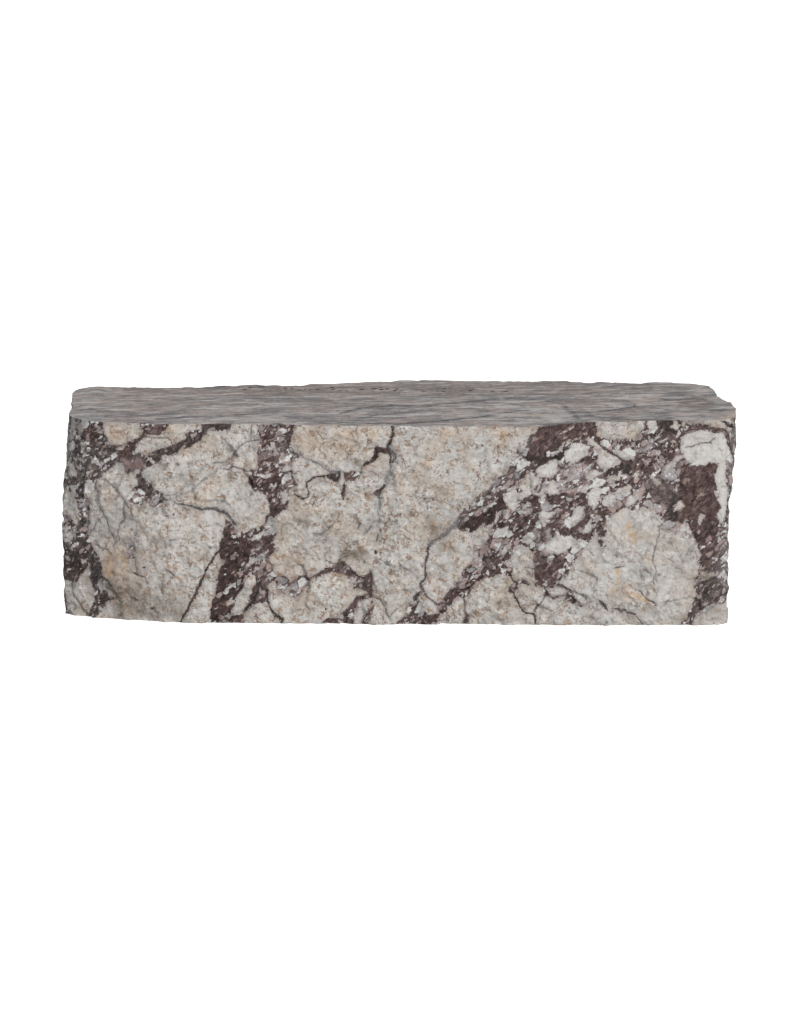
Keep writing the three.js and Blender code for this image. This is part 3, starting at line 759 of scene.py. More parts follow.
# Small pits in the front: (x, z, radius). They are painted near-black, as painted shade in their
# hollows over a shallow dent in the mesh.
PITS = (
    (-474, 167, 4.5), (-478, 125, 3.0), (-458, 106, 2.4), (-395, 297, 3.2), (-445, 29, 3.0),
    (-36, 174, 3.6), (-43, 134, 3.4), (-131, 25, 2.4), (-133, 28, 2.0), (490, 156, 2.2), (404, 26, 3.0),
    (-404, 204, 2.0), (-378, 152, 1.6), (-64, 115, 2.0),
)

# ---------------------------------------------------------------- markings on the sawn top, in mm
# Veins of (x, y, half width) with a darkness and a greyness, and patches of colour (x, y).

TOP_VEINS = {
    "long vein": (0.75, 0.8, (
        (-140, -170, 2.5), (-60, -170, 4.0), (-10, -181, 6.0), (16, -176, 4.5), (60, -160, 3.0),
        (85, -146, 4.5), (115, -134, 4.5), (150, -115, 4.0), (180, -93, 4.5), (205, -74, 3.0),
        (232, -66, 2.0),
    )),
    "beaded vein": (0.65, 0.3, (
        (-118, -108, 2.5), (-98, -84, 5.0), (-84, -66, 7.0), (-70, -50, 6.0), (-50, -36, 6.0),
        (-12, -27, 3.0),
    )),
    "middle vein": (0.6, 0.6, (
        (-15, -20, 4.0), (20, -26, 9.0), (60, -18, 7.0), (85, -6, 4.5), (128, 7, 4.5), (160, 22, 6.0),
        (205, 33, 5.0), (262, 16, 3.5), (300, -14, 3.0),
    )),
    "front knot": (0.6, 0.7, ((-104, -162, 3.5), (-80, -147, 4.5), (-62, -128, 6.0), (-48, -116, 4.0))),
    "front dash": (0.5, 0.7, ((-60, -136, 2.0), (-20, -127, 3.0), (4, -130, 2.0))),
    "thin arc": (0.35, 0.7, (
        (-32, -106, 2.0), (10, -82, 2.0), (60, -62, 2.0), (112, -52, 2.0), (170, -70, 2.0),
    )),
    "left vein": (0.6, 0.8, (
        (-432, -142, 4.5), (-382, -122, 4.5), (-330, -117, 4.5), (-275, -101, 4.0), (-250, -86, 3.0),
        (-214, -66, 2.0),
    )),
    "left cloud": (0.5, 0.8, ((-486, -112, 3.0), (-442, -106, 6.0), (-398, -95, 3.0))),
    "left dash": (0.5, 0.7, ((-206, -118, 4.5), (-188, -129, 4.0), (-160, -134, 6.0))),
    "cross vein": (0.55, 0.9, ((298, -10, 2.0), (305, -60, 3.0), (312, -100, 3.0), (320, -132, 2.5))),
    "ring vein": (0.6, 0.6, (
        (308, -70, 3.0), (330, -82, 4.5), (352, -80, 3.5), (382, -69, 4.5), (402, -54, 6.0),
        (424, -38, 5.0), (430, -8, 3.0), (414, 18, 2.0),
    )),
    "front chain": (0.6, 0.4, ((340, -108, 5.0), (362, -126, 5.0), (400, -141, 5.0), (436, -148, 6.0))),
    "rear mark": (0.55, 0.1, (
        (484, 34, 4.0), (497, 22, 7.0), (522, 26, 6.0), (548, 38, 6.0), (560, 18, 4.0), (574, 0, 3.0),
    )),
    "end lines one": (0.6, 0.9, ((520, 60, 1.5), (560, 62, 3.0), (600, 60, 3.0))),
    "end lines two": (0.5, 0.9, ((500, 88, 1.5), (560, 84, 3.0), (600, 86, 2.5))),
    "end lines three": (0.5, 0.8, ((500, -60, 2.0), (550, -62, 4.0), (604, -64, 3.0))),
    "end lines four": (0.4, 0.9, ((560, -20, 1.5), (600, -24, 3.0))),
    "centre line": (0.35, 0.8, ((200, 50, 2.0), (260, 44, 4.0), (310, 40, 5.0), (345, 46, 4.0))),
    "rear line": (0.3, 0.7, ((-340, 40, 1.5), (-240, 36, 4.0), (-150, 30, 2.5), (-110, 12, 2.0))),
    "mauve streak": (0.3, 0.1, ((-600, 148, 5.0), (-562, 112, 8.0), (-520, 66, 7.0), (-478, 48, 4.0))),
    "mauve twin": (0.3, 0.1, ((-512, 100, 3.0), (-478, 76, 6.0), (-440, 60, 5.0), (-400, 52, 3.0))),
    "left rim line": (0.35, 0.1, ((-604, -52, 3.0), (-562, -62, 6.0), (-520, -76, 4.0))),
    "rear seam": (0.3, 0.4, (
        (60, 72, 2.0), (150, 60, 5.0), (230, 68, 5.0), (330, 84, 3.0), (420, 78, 2.0),
    )),
    "band over the edge": (0.65, 0.2, ((-262, -196, 8.0), (-220, -184, 13.0), (-186, -196, 10.0))),
    "right band over the edge": (0.5, 0.3, ((252, -192, 8.0), (288, -174, 11.0), (330, -158, 8.0))),
}
TOP_PATCHES = (
    ("dirt", 0.5, ((30, 60), (10, 150), (60, 195), (480, 195), (470, 90), (300, 60))),
    ("dirt", 0.3, ((-600, -80), (-560, 60), (-420, 40), (-250, -40), (-480, -100))),
    ("grey", 0.5, ((-590, -190), (-560, -140), (-440, -150), (-350, -192))),
    ("white", 0.55, (
        (196, -76), (250, -68), (306, -72), (312, -130), (240, -160), (186, -150), (176, -110),
    )),
    ("pink", 0.5, (
        (310, -18), (330, 22), (365, 34), (402, 28), (406, -8), (396, -45), (368, -66), (335, -78),
        (315, -66),
    )),
    ("pink", 0.4, ((430, -62), (420, -20), (428, 20), (470, 38), (510, 5), (505, -50), (470, -62))),
    ("white", 0.35, (
        (0, -55), (60, -48), (150, -65), (178, -85), (140, -112), (60, -128), (0, -120), (-30, -95),
    )),
    ("pink", 0.5, ((-200, -45), (-112, -42), (-92, -70), (-130, -95), (-205, -88))),
    ("white", 0.45, (
        (-420, -152), (-380, -132), (-250, -116), (-150, -140), (-170, -178), (-400, -176),
    )),
    ("white", 0.4, ((500, -80), (600, -72), (604, -120), (560, -148), (486, -150), (484, -100))),
    ("pink", 0.45, ((60, -100), (110, -90), (140, -110), (100, -128), (50, -122))),
    ("pink", 0.6, ((110, -140), (150, -136), (156, -152), (126, -166), (104, -156))),
    ("pink", 0.35, ((-90, 60), (10, 40), (60, 10), (-20, 0), (-110, 10))),
    ("dirt", 0.8, ((-520, 128), (-500, 66), (-250, 52), (0, 66), (10, 134), (-200, 152), (-400, 138))),
    ("dirt", 0.75, ((512, -55), (508, -10), (520, 40), (560, 45), (578, 10), (572, -45), (545, -62))),
    ("dirt", 0.3, ((-260, 110), (-180, 118), (-170, 96), (-240, 84))),
    ("grey", 1.0, ((436, -156), (446, -110), (462, -86), (482, -82), (490, -104), (486, -156))),
    ("grey", 0.9, ((404, 2), (410, -38), (432, -40), (434, -6), (420, 6))),
    ("grey", 0.6, ((-604, -80), (-480, -86), (-470, -120), (-480, -165), (-600, -130))),
    ("grey", 0.45, ((-160, -95), (-60, -90), (-10, -130), (-60, -165), (-170, -150))),
    ("grey", 0.4, ((-200, 20), (-120, 20), (-110, -20), (-200, -24))),
    ("grey", 0.4, ((0, 60), (200, 60), (340, 60), (340, 20), (200, 10), (60, 0))),
    ("shade", 0.3, ((-100, 210), (620, 210), (620, 120), (420, 100), (100, 120), (-100, 130))),
    ("ochre", 0.6, ((228, -92), (262, -100), (258, -108), (232, -104))),
    ("ochre", 0.7, ((578, -108), (600, -112), (598, -132), (584, -128))),
)

# The row of small broken pits along the rear of the top, and the notch at the rear edge. Both are
# painted near-black, as painted shade in their hollows.
PIT_ROW_FROM, PIT_ROW_TO = -290.0, 215.0
PIT_ROW_Y = 118.0
PIT_ROW_WIDTH = 22.0
REAR_NOTCH = (-334.0, 146.0, 11.0)

# ---------------------------------------------------------------- light

# The distant lights: name, setting that holds the strength, then azimuth, height and softness in
# degrees.
LIGHTS = (
    ("front light", "key", 38, 26, 20), ("side light", "fill", -48, 30, 70),
    ("rear light", "rear", 205, 25, 60),
)

# ---------------------------------------------------------------- mesh cells

CELLS_ALONG = 210
CELLS_DEEP = 58
CELLS_HIGH = 63

# Lattice places run from -0.5 to 0.5. Beyond this they lie on a side of the cube.
RIM = 0.4999


def settings():
    return bpy.context.scene.marble_block


# ---------------------------------------------------------------- random fields in plain numbers


def scramble(cells, seed):
    """Four random numbers from 0 to 1 for each whole-numbered cell."""
    c = cells.astype(np.int64)
    mixed = c[:, 0] * 73856093 ^ c[:, 1] * 19349663 ^ c[:, 2] * 83492791 ^ (seed * 2654435761)
    out = np.empty((len(c), 4))
    state = (mixed & 0xFFFFFFFF).astype(np.uint64)
    for i in range(4):
        state = (state ^ (state >> np.uint64(16))) * np.uint64(0x45D9F3B) & np.uint64(0xFFFFFFFF)
        state = (state ^ (state >> np.uint64(15))) * np.uint64(0x2C1B3C6D) & np.uint64(0xFFFFFFFF)
        state = state ^ (state >> np.uint64(13))
        out[:, i] = state.astype(np.float64) / 4294967296.0
    return out


def noise(points, size, seed):
    """Smooth noise from -1 to 1 with lumps about one size across."""
    q = points / size
    base = np.floor(q)
    t = q - base
    t = t * t * (3 - 2 * t)
    total = np.zeros(len(points))
    for corner in np.ndindex(2, 2, 2):
        value = scramble(base + corner, seed)[:, 0] * 2 - 1
        weight = np.prod(np.where(corner, t, 1 - t), axis=1)
        total += value * weight
    return total


def fractal(points, size, octaves, seed):
    """Noise with finer noise on it, each octave half as large and half as strong."""
    total = np.zeros(len(points))
    strength = 1.0
    reach = 0.0
    for octave in range(octaves):
        total += strength * noise(points, size / 2**octave, seed + octave)
        reach += strength
        strength *= 0.5
    return total / reach


def cell_distances(points, size, seed):
    """Distances to the nearest and second nearest of scattered seeds, the nearest's number, and
    how far each place lies from it along a slope of the seed's own."""
    q = points / size
    base = np.floor(q)
    nearest = np.full(len(points), 9.0)
    second = np.full(len(points), 9.0)
    number = np.zeros(len(points))
    lean = np.zeros(len(points))
    for step in np.ndindex(3, 3, 3):
        cell = base + np.array(step) - 1
        r = scramble(cell, seed)
        offset = q - cell - r[:, :3]
        away = np.sqrt((offset**2).sum(1))
        closer = away < nearest
        second = np.where(closer, nearest, np.minimum(second, away))
        number = np.where(closer, r[:, 3], number)
        slope = scramble(cell, seed + 500)[:, :3] * 2 - 1
        lean = np.where(closer, (offset * slope).sum(1), lean)
        nearest = np.where(closer, away, nearest)
    return nearest * size, second * size, number, lean * size


def smooth_step(value, low, high):
    t = np.clip((value - low) / (high - low), 0, 1)
    return t * t * (3 - 2 * t)


# ---------------------------------------------------------------- the block's faces


def eased_outline(points, ease=7):
    """An outline as a function of place, with its corners rounded over a few centimetres."""
    xs = np.arange(-720.0, 721.0, 2.0)
    ys = np.interp(xs, [p[0] for p in points], [p[1] for p in points])
    window = np.hanning(2 * ease + 3)[1:-1]
    ys = np.convolve(np.pad(ys, ease, mode="edge"), window / window.sum(), mode="valid")
    return lambda place: np.interp(place, xs, ys)


def hollow_depth(hollows, along, height):
    depth = np.zeros(len(along))
    for centre, level, radius, most in hollows:
        away = np.hypot(along - centre, height - level) / radius
        depth += np.where(away < 1, most * (1 - away**2) ** 2, 0)
    return depth


def waves(along, height, phase):
    """The same irregular waves between -1 and 1 as the frame's."""
    a, h = along / 1000, height / 1000
    broad = np.sin(31 * a + 17 * h + 2.1 * phase) * np.cos(23 * h - 9 * a + phase)
    middle = np.sin(67 * a - 41 * h + 3.7 * phase) * np.cos(59 * h + 37 * a - 1.3 * phase)
    narrow = np.sin(113 * a + 97 * h + 5.3 * phase) * np.cos(131 * h - 71 * a + 2.9 * phase)
    return 0.5 * broad + 0.3 * middle + 0.2 * narrow


def face_place(side, along, height):
    """Where a split face stands: between its outlines, less its hollows, with its waves."""
    floor, top, lean_starts, hollows, wander, phase, outwards = SPLIT_FACES[side]
    lean = smooth_step(height, lean_starts, HEIGHT)
    at_floor = eased_outline(floor)(along)
    at_top = eased_outline(top)(along)
    hollow = hollow_depth(hollows, along, height) - wander * waves(along, height, phase)
    return at_floor + (at_top - at_floor) * lean - outwards * hollow


def shape_block(lattice):
    """Moves lattice points, given from -0.5 to 0.5, to the block's broad shape in mm."""
    along = lattice[:, 0] * LENGTH
    across = lattice[:, 1] * DEPTH
    height = (lattice[:, 2] + 0.5) * HEIGHT
    left = face_place(LEFT, across, height)
    right = face_place(RIGHT, across, height)
    front = face_place(FRONT, along, height)
    back = face_place(BACK, along, height)
    x = left + (right - left) * (lattice[:, 0] + 0.5)
    y = front + (back - front) * (lattice[:, 1] + 0.5)
    return np.stack([x, y, height], 1)


def split_relief(points, strength, small):
    """How far a split face stands out, in mm: shell-shaped scoops, tilted chips and fine grit.
    Small is how much of the smaller chips and the grit there is."""
    warped = points + 9 * np.stack([noise(points, 40, s) for s in (71, 72, 73)], 1)
    height = 2.5 * fractal(points, 150, 3, 11)
    for size, scoop, tilt, seed in ((58, 6.0, 0.16, 21), (27, 4.0, 0.26, 22), (13, 1.5, 0.2, 23)):
        nearest, _, number, lean = cell_distances(warped, size, seed)
        bowl = (nearest / (0.62 * size)) ** 2
        chip = scoop * (0.4 + 0.9 * number) * np.clip(bowl - 0.55, -0.55, 0.75) + tilt * lean
        height += chip if size > 50 else small * chip
    height += 0.5 * small * noise(points, 6, 24)
    return strength * (height - height.mean())


# ---------------------------------------------------------------- drawing on the faces

FAR = -20.0


def line_depth(u, v, line):
    """How deep each place lies inside a line of changing width, in mm and negative outside, how
    far it lies to the left or the right of the line, and half the line's width there."""
    best = np.full(len(u), FAR)
    across = np.full(len(u), -FAR)
    half = np.zeros(len(u))
    for (x0, y0, w0), (x1, y1, w1) in zip(line, line[1:]):
        dx, dy = x1 - x0, y1 - y0
        t = np.clip(((u - x0) * dx + (v - y0) * dy) / max(dx * dx + dy * dy, 1e-6), 0, 1)
        away = np.hypot(u - x0 - t * dx, v - y0 - t * dy)
        hand = np.where((u - x0) * dy < (v - y0) * dx, 1.0, -1.0)
        width = w0 + (w1 - w0) * t
        deeper = width - away > best
        best = np.where(deeper, width - away, best)
        across = np.where(deeper, hand * away, across)
        half = np.where(deeper, width, half)
    return best, across, half


def outline_depth(u, v, outline):
    """How deep each place lies inside a closed outline, in mm; negative outside."""
    inside = np.zeros(len(u), bool)
    nearest = np.full(len(u), 1e9)
    for (x0, y0), (x1, y1) in zip(outline, outline[1:] + outline[:1]):
        dx, dy = x1 - x0, y1 - y0
        t = np.clip(((u - x0) * dx + (v - y0) * dy) / max(dx * dx + dy * dy, 1e-6), 0, 1)
        nearest = np.minimum(nearest, np.hypot(u - x0 - t * dx, v - y0 - t * dy))
        if dy:
            crosses = (y0 > v) != (y1 > v)
            inside ^= crosses & (u < x0 + (v - y0) * dx / dy)
    return np.where(inside, nearest, -nearest)


def near(u, v, points, margin=24.0):
    """The places close enough to a feature to be worth measuring."""
    xs = [p[0] for p in points]
    ys = [p[1] for p in points]
    beside = (u > min(xs) - margin) & (u < max(xs) + margin)
    level = (v > min(ys) - margin) & (v < max(ys) + margin)
    return np.nonzero(beside & level)[0]


# What is known of each place on a face. Each attribute of the mesh holds three channels in turn.
CHANNELS = (
    "ground", "vein", "fragments", "dark", "grey", "white", "ochre", "dirt", "pink",
    "across", "half", "specks",
)
ATTRIBUTES = ("seams", "tones", "stains", "lines")


def blank_marks(count):
    marks = {name: np.zeros(count) for name in CHANNELS}
    marks["ground"][:] = FAR
    marks["vein"][:] = FAR
    marks["across"][:] = -FAR
    marks["specks"][:] = 0.5
    return marks


def lay_line(marks, u, v, dark, grey, line):
    """Lays a vein over the marks where it is nearer than the veins before it."""
    rows = near(u, v, line)
    depth, across, half = line_depth(u[rows], v[rows], line)
    nearer = (depth > marks["vein"][rows]) & (depth > -7)
    own = smooth_step(depth, -6, -1) * nearer
    lay(marks, "dark", rows, dark, own)
    lay(marks, "grey", rows, grey, own)
    rows = rows[nearer]
    marks["vein"][rows] = depth[nearer]
    marks["across"][rows] = across[nearer]
    marks["half"][rows] = half[nearer]


def lay(marks, name, rows, value, cover):
    """Lays a value over a channel where a feature covers it."""
    marks[name][rows] += (value - marks[name][rows]) * cover


def lay_tones(marks, u, v, patch, low, high):
    """Lays a patch's darkness, greyness and share of fragments, fading over its edge."""
    dark, grey, share, outline = patch
    rows = near(u, v, outline)
    depth = outline_depth(u[rows], v[rows], outline)
    cover = smooth_step(depth, low, high)
    lay(marks, "dark", rows, dark, cover)
    lay(marks, "grey", rows, grey, cover)
    lay(marks, "fragments", rows, share, cover)
    return rows, depth


def draw_front(u, v, wobble_u, wobble_v):
    """The front's markings at places on its drawing plane."""
    marks = blank_marks(len(u))
    wu, wv = u + wobble_u, v + wobble_v
    for ground in GROUNDS.values():
        rows, depth = lay_tones(marks, wu, wv, ground, -8, 4)
        marks["ground"][rows] = np.maximum(marks["ground"][rows], depth)
    for shade in SHADES.values():
        lay_tones(marks, wu, wv, shade, -6, 6)
    for group in FRAGMENTS.values():
        for white, outline in group:
            rows = near(wu, wv, outline)
            depth = outline_depth(wu[rows], wv[rows], outline)
            marks["ground"][rows] = np.minimum(marks["ground"][rows], -depth)
            lay(marks, "white", rows, white, smooth_step(depth, -5, 1))
    for dark, grey, line in VEINS.values():
        lay_line(marks, wu, wv, dark, grey, line)
    for kind, x, z, across, up, tilt, strength in STAINS:
        a = math.radians(tilt)
        du, dv = wu - x, wv - z
        p = (du * math.cos(a) + dv * math.sin(a)) / across
        q = (dv * math.cos(a) - du * math.sin(a)) / up
        cover = strength * np.exp(-1.2 * (p * p + q * q))
        if kind == "clean":
            marks["specks"] *= 1 - cover
        else:
            name = "grey" if kind == "shade" else kind
            marks[name] += (1 - marks[name]) * cover
    # The pits are painted dark: painted shade in their hollows.
    for x, z, radius in PITS:
        depth = radius - np.hypot(u - x, v - z)
        rows = np.nonzero(depth > -4)[0]
        lay(marks, "dark", rows, 1.0, smooth_step(depth[rows], -2, 0))
        marks["vein"][rows] = depth[rows]
        marks["across"][rows] = radius - depth[rows]
        marks["half"][rows] = radius
    return marks


def draw_top(x, y, wobble_x, wobble_y):
    """The sawn top's markings."""
    marks = blank_marks(len(x))
    wx, wy = x + wobble_x, y + wobble_y
    for kind, strength, outline in TOP_PATCHES:
        rows = near(wx, wy, outline, 40)
        cover = strength * smooth_step(outline_depth(wx[rows], wy[rows], outline), -10, 8)
        name = "grey" if kind == "shade" else kind
        lay(marks, name, rows, 1.0, cover)
    for dark, grey, line in TOP_VEINS.values():
        lay_line(marks, wx, wy, dark, grey, line)
    return marks


def draw_hidden(points):
    """Breccia for the faces that carry no set-out markings, solid through the stone."""
    tilt = math.radians(38)
    turned = np.stack([
        (points[:, 0] * math.cos(tilt) + points[:, 2] * math.sin(tilt)) / 1.5,
        points[:, 1] / 1.15,
        -points[:, 0] * math.sin(tilt) + points[:, 2] * math.cos(tilt),
    ], 1)
    warped = turned + 22 * np.stack([fractal(turned, 90, 3, s) for s in (31, 34, 37)], 1)
    nearest, second, number, _ = cell_distances(warped, 150, 41)
    between = (second - nearest) / 2
    swell = smooth_step(fractal(turned, 230, 2, 43), -0.15, 0.5)
    ground = 1.5 + 30 * swell - between
    small_nearest, small_second, small, _ = cell_distances(warped + 60, 62, 47)
    vein = 2.6 * noise(turned, 60, 53) - 0.6 - (small_second - small_nearest) / 2
    marks = blank_marks(len(points))
    marks["ground"] = np.clip(ground, FAR, 20)
    marks["vein"] = np.clip(vein, FAR, 20)
    marks["half"] = marks["vein"].copy()
    marks["across"][:] = 0
    marks["specks"] = np.clip(0.4 + 0.7 * fractal(turned, 70, 2, 87), 0, 1)
    marks["dark"] = np.clip(0.42 + 0.5 * fractal(turned, 80, 2, 59), 0, 1)
    marks["grey"] = np.clip(0.3 + 0.6 * fractal(turned, 120, 2, 61), 0, 1)
    marks["fragments"] = np.clip(0.3 + 0.4 * fractal(turned, 90, 2, 67), 0.03, 0.65)
    marks["white"] = np.clip(0.5 * number + 0.3 * (small - 0.5), 0, 1)
    marks["ochre"] = np.clip(0.9 * fractal(turned, 75, 3, 79) - 0.15, 0, 0.8)
    marks["dirt"] = np.clip(1.1 * fractal(turned, 60, 3, 83) - 0.35, 0, 0.8)
    low_down = smooth_step(-points[:, 2] + 30 * noise(points, 50, 85), -45, 0)
    marks["dirt"] += (1 - marks["dirt"]) * 0.5 * low_down
    marks["pink"] = np.clip(fractal(turned, 100, 2, 89), 0, 0.7)
    return marks


def mixed(first, second, share):
    return {name: first[name] + (second[name] - first[name]) * share for name in CHANNELS}


def wobbles(points, strength):
    """Two sideways shifts in mm that make drawn edges irregular."""
    sideways = strength * (2.6 * noise(points, 17, 91) + 1.2 * noise(points, 7, 92))
    upwards = strength * (2.6 * noise(points, 17, 95) + 1.2 * noise(points, 7, 96))
    return sideways, upwards


def marks_for_side(side, points):
    """The markings of one face at its points, which are in mm."""
    x, y, z = points.T
    across, upwards = wobbles(points, 1.0)
    if side == TOP:
        marks = draw_top(x, y, 1.6 * across, 1.6 * upwards)
        depth = draw_hidden(points)
        hidden = np.minimum(depth["vein"], 1.2)
        over = hidden > marks["vein"]
        marks["vein"] = np.where(over, hidden, marks["vein"])
        marks["half"] = np.where(over, hidden, marks["half"])
        marks["across"] = np.where(over, 0, marks["across"])
        marks["dark"] = np.maximum(marks["dark"], 0.35 * (depth["vein"] > -3))
        marks["ground"] = depth["ground"]
        return marks
    if side in (BACK, UNDER):
        return draw_hidden(points)
    scale = (DRAWING_PLANE_Y - EYE[1]) / (y - EYE[1])
    u = EYE[0] + (x - EYE[0]) * scale
    v = EYE[2] + (z - EYE[2]) * scale
    if side == FRONT:
        return draw_front(u, v, across, upwards)
    corner = face_place(FRONT, np.full(len(x), -600.0 if side == LEFT else 600.0), z)
    behind = np.maximum(y - corner, 0)
    turned_u = (-603 + 0.4 * behind) if side == LEFT else (600 - 0.4 * behind)
    scale = (DRAWING_PLANE_Y - EYE[1]) / (corner - EYE[1])
    turned_v = EYE[2] + (z - EYE[2]) * scale
    share = smooth_step(behind + 30 * noise(points, 45, 97), 20, 120)
    return mixed(draw_front(turned_u, turned_v, across, upwards), draw_hidden(points), share)


# ---------------------------------------------------------------- the block's mesh


def lattice_mesh():
    """A cube cut into a lattice, finer on its front. Returns the bmesh."""
    bm = bmesh.new()
    bmesh.ops.create_cube(bm, size=1.0)
    for axis, cells in ((0, CELLS_ALONG), (1, CELLS_DEEP), (2, CELLS_HIGH)):
        edges = [
            e for e in bm.edges
            if abs(e.verts[0].co[axis] - e.verts[1].co[axis]) > 0.9
        ]
        bmesh.ops.subdivide_edges(bm, edges=edges, cuts=cells - 1, use_grid_fill=True)
    on_front = [
        e for e in bm.edges
        if e.verts[0].co.y < -RIM and e.verts[1].co.y < -RIM
    ]
    bmesh.ops.subdivide_edges(bm, edges=on_front, cuts=1, use_grid_fill=True)
    return bm


def side_of(face):
    """Which side of the cube a face lies on."""
    c = face.calc_center_median()
    reach = [(-c.y, FRONT), (c.y, BACK), (-c.x, LEFT), (c.x, RIGHT), (c.z, TOP), (-c.z, UNDER)]
    return max(reach)[1]


def corner_values(values, sides, corner_side, corner_vertex, channels):
    """Three channels as one vector for each face corner."""
    out = np.zeros((len(corner_vertex), 3), np.float32)
    for side in sides:
        rows = np.nonzero(corner_side == side)[0]
        vertices = corner_vertex[rows]
        for i, name in enumerate(channels):
            out[rows, i] = values[side][name][vertices]
    return out


def carve_block():
    """Makes the block's mesh in metres, with its markings stored on its face corners."""
    bm = lattice_mesh()
    bm.faces.ensure_lookup_table()
    face_side = np.array([side_of(f) for f in bm.faces], np.int32)
    mesh = bpy.data.meshes.new("marble_block_stone")
    bm.to_mesh(mesh)
    bm.free()

    count = len(mesh.vertices)
    lattice = np.empty(count * 3, np.float32)
    mesh.vertices.foreach_get("co", lattice)
    lattice = lattice.reshape(-1, 3).astype(float)
    points = shape_block(lattice)
    low, high = points.min(0), points.max(0)

    corner_vertex = np.empty(len(mesh.loops), np.int32)
    mesh.loops.foreach_get("vertex_index", corner_vertex)
    totals = np.empty(len(mesh.polygons), np.int32)
    mesh.polygons.foreach_get("loop_total", totals)
    corner_side = np.repeat(face_side, totals)

    values = {}
    for side in range(6):
        used = np.unique(corner_vertex[corner_side == side])
        found = marks_for_side(side, points[used])
        values[side] = {}
        for name in CHANNELS:
            full = np.zeros(count)
            full[used] = found[name]
            values[side][name] = full

    shaped = points + relief_shifts(lattice, points, values)
    centre = np.array([(NODE_LOW.x + NODE_HIGH.x) / 2, (NODE_LOW.y + NODE_HIGH.y) / 2, 0]) / MM
    shift = centre - np.array([(low[0] + high[0]) / 2, (low[1] + high[1]) / 2, 0])
    mesh.vertices.foreach_set("co", ((shaped + shift) * MM).astype(np.float32).ravel())

    for number, title in enumerate(ATTRIBUTES):
        channels = CHANNELS[3 * number:3 * number + 3]
        layer = mesh.attributes.new(title, "FLOAT_VECTOR", "CORNER")
        vectors = corner_values(values, range(6), corner_side, corner_vertex, channels)
        layer.data.foreach_set("vector", vectors.ravel())
    finish_faces(mesh, face_side)
    return mesh


def relief_shifts(lattice, points, values):
    """The fine shape of the split faces as a shift for every point, in mm."""
    shifts = np.zeros_like(points)
    x, _, z = points.T
    for side, axis, outwards, strength, small in SPLIT_RELIEF:
        reach = (LENGTH, DEPTH)[axis]
        behind = (lattice[:, axis] * -outwards + 0.5) * reach
        weight = np.clip(1 - behind / RELIEF_REACH, 0, 1)
        rows = np.nonzero(weight > 0)[0]
        flat = points[rows].copy()
        flat[:, axis] = NOISE_SLICE * (side + 1)
        height = split_relief(flat, strength, small)
        height *= 1 - 0.5 * smooth_step(z[rows], HEIGHT - 60, HEIGHT)
        if side == FRONT:
            crisp = smooth_step(z[rows], HEIGHT - 45, HEIGHT) * smooth_step(-x[rows], -235, -200)
            height *= 1 - 0.75 * crisp
            seam = smooth_step(values[side]["ground"][rows], -2, 3)
            line = smooth_step(values[side]["vein"][rows], -2.5, 0.5)
            height -= 1.3 * seam + 1.2 * line
        shifts[rows, axis] += outwards * height * weight[rows]
    rim = (lattice[:, 2] > RIM) & (
        (np.abs(lattice[:, 0]) > RIM) | (np.abs(lattice[:, 1]) > RIM)
    )
    bite = np.clip(fractal(points[rim], 26, 3, 101) - 0.12, 0, 1)
    shifts[rim, 2] -= 5.0 * bite
    return shifts


def finish_faces(mesh, face_side):
    """Gives split and sawn faces their material numbers and keeps the sawn edges sharp."""
    sawn = (face_side == TOP) | (face_side == UNDER)
    mesh.polygons.foreach_set("material_index", sawn.astype(np.int32))
    mesh.polygons.foreach_set("use_smooth", np.ones(len(mesh.polygons), bool))
    starts = np.empty(len(mesh.polygons), np.int32)
    totals = np.empty(len(mesh.polygons), np.int32)
    mesh.polygons.foreach_get("loop_start", starts)
    mesh.polygons.foreach_get("loop_total", totals)
    corner_edge = np.empty(len(mesh.loops), np.int32)
    mesh.loops.foreach_get("edge_index", corner_edge)
    corner_sawn = np.repeat(sawn, totals)
    touches_sawn = np.zeros(len(mesh.edges), bool)
    touches_split = np.zeros(len(mesh.edges), bool)
    touches_sawn[corner_edge[corner_sawn]] = True
    touches_split[corner_edge[~corner_sawn]] = True
    mesh.edges.foreach_set("use_edge_sharp", touches_sawn & touches_split)
    mesh.update()


# ---------------------------------------------------------------- materials


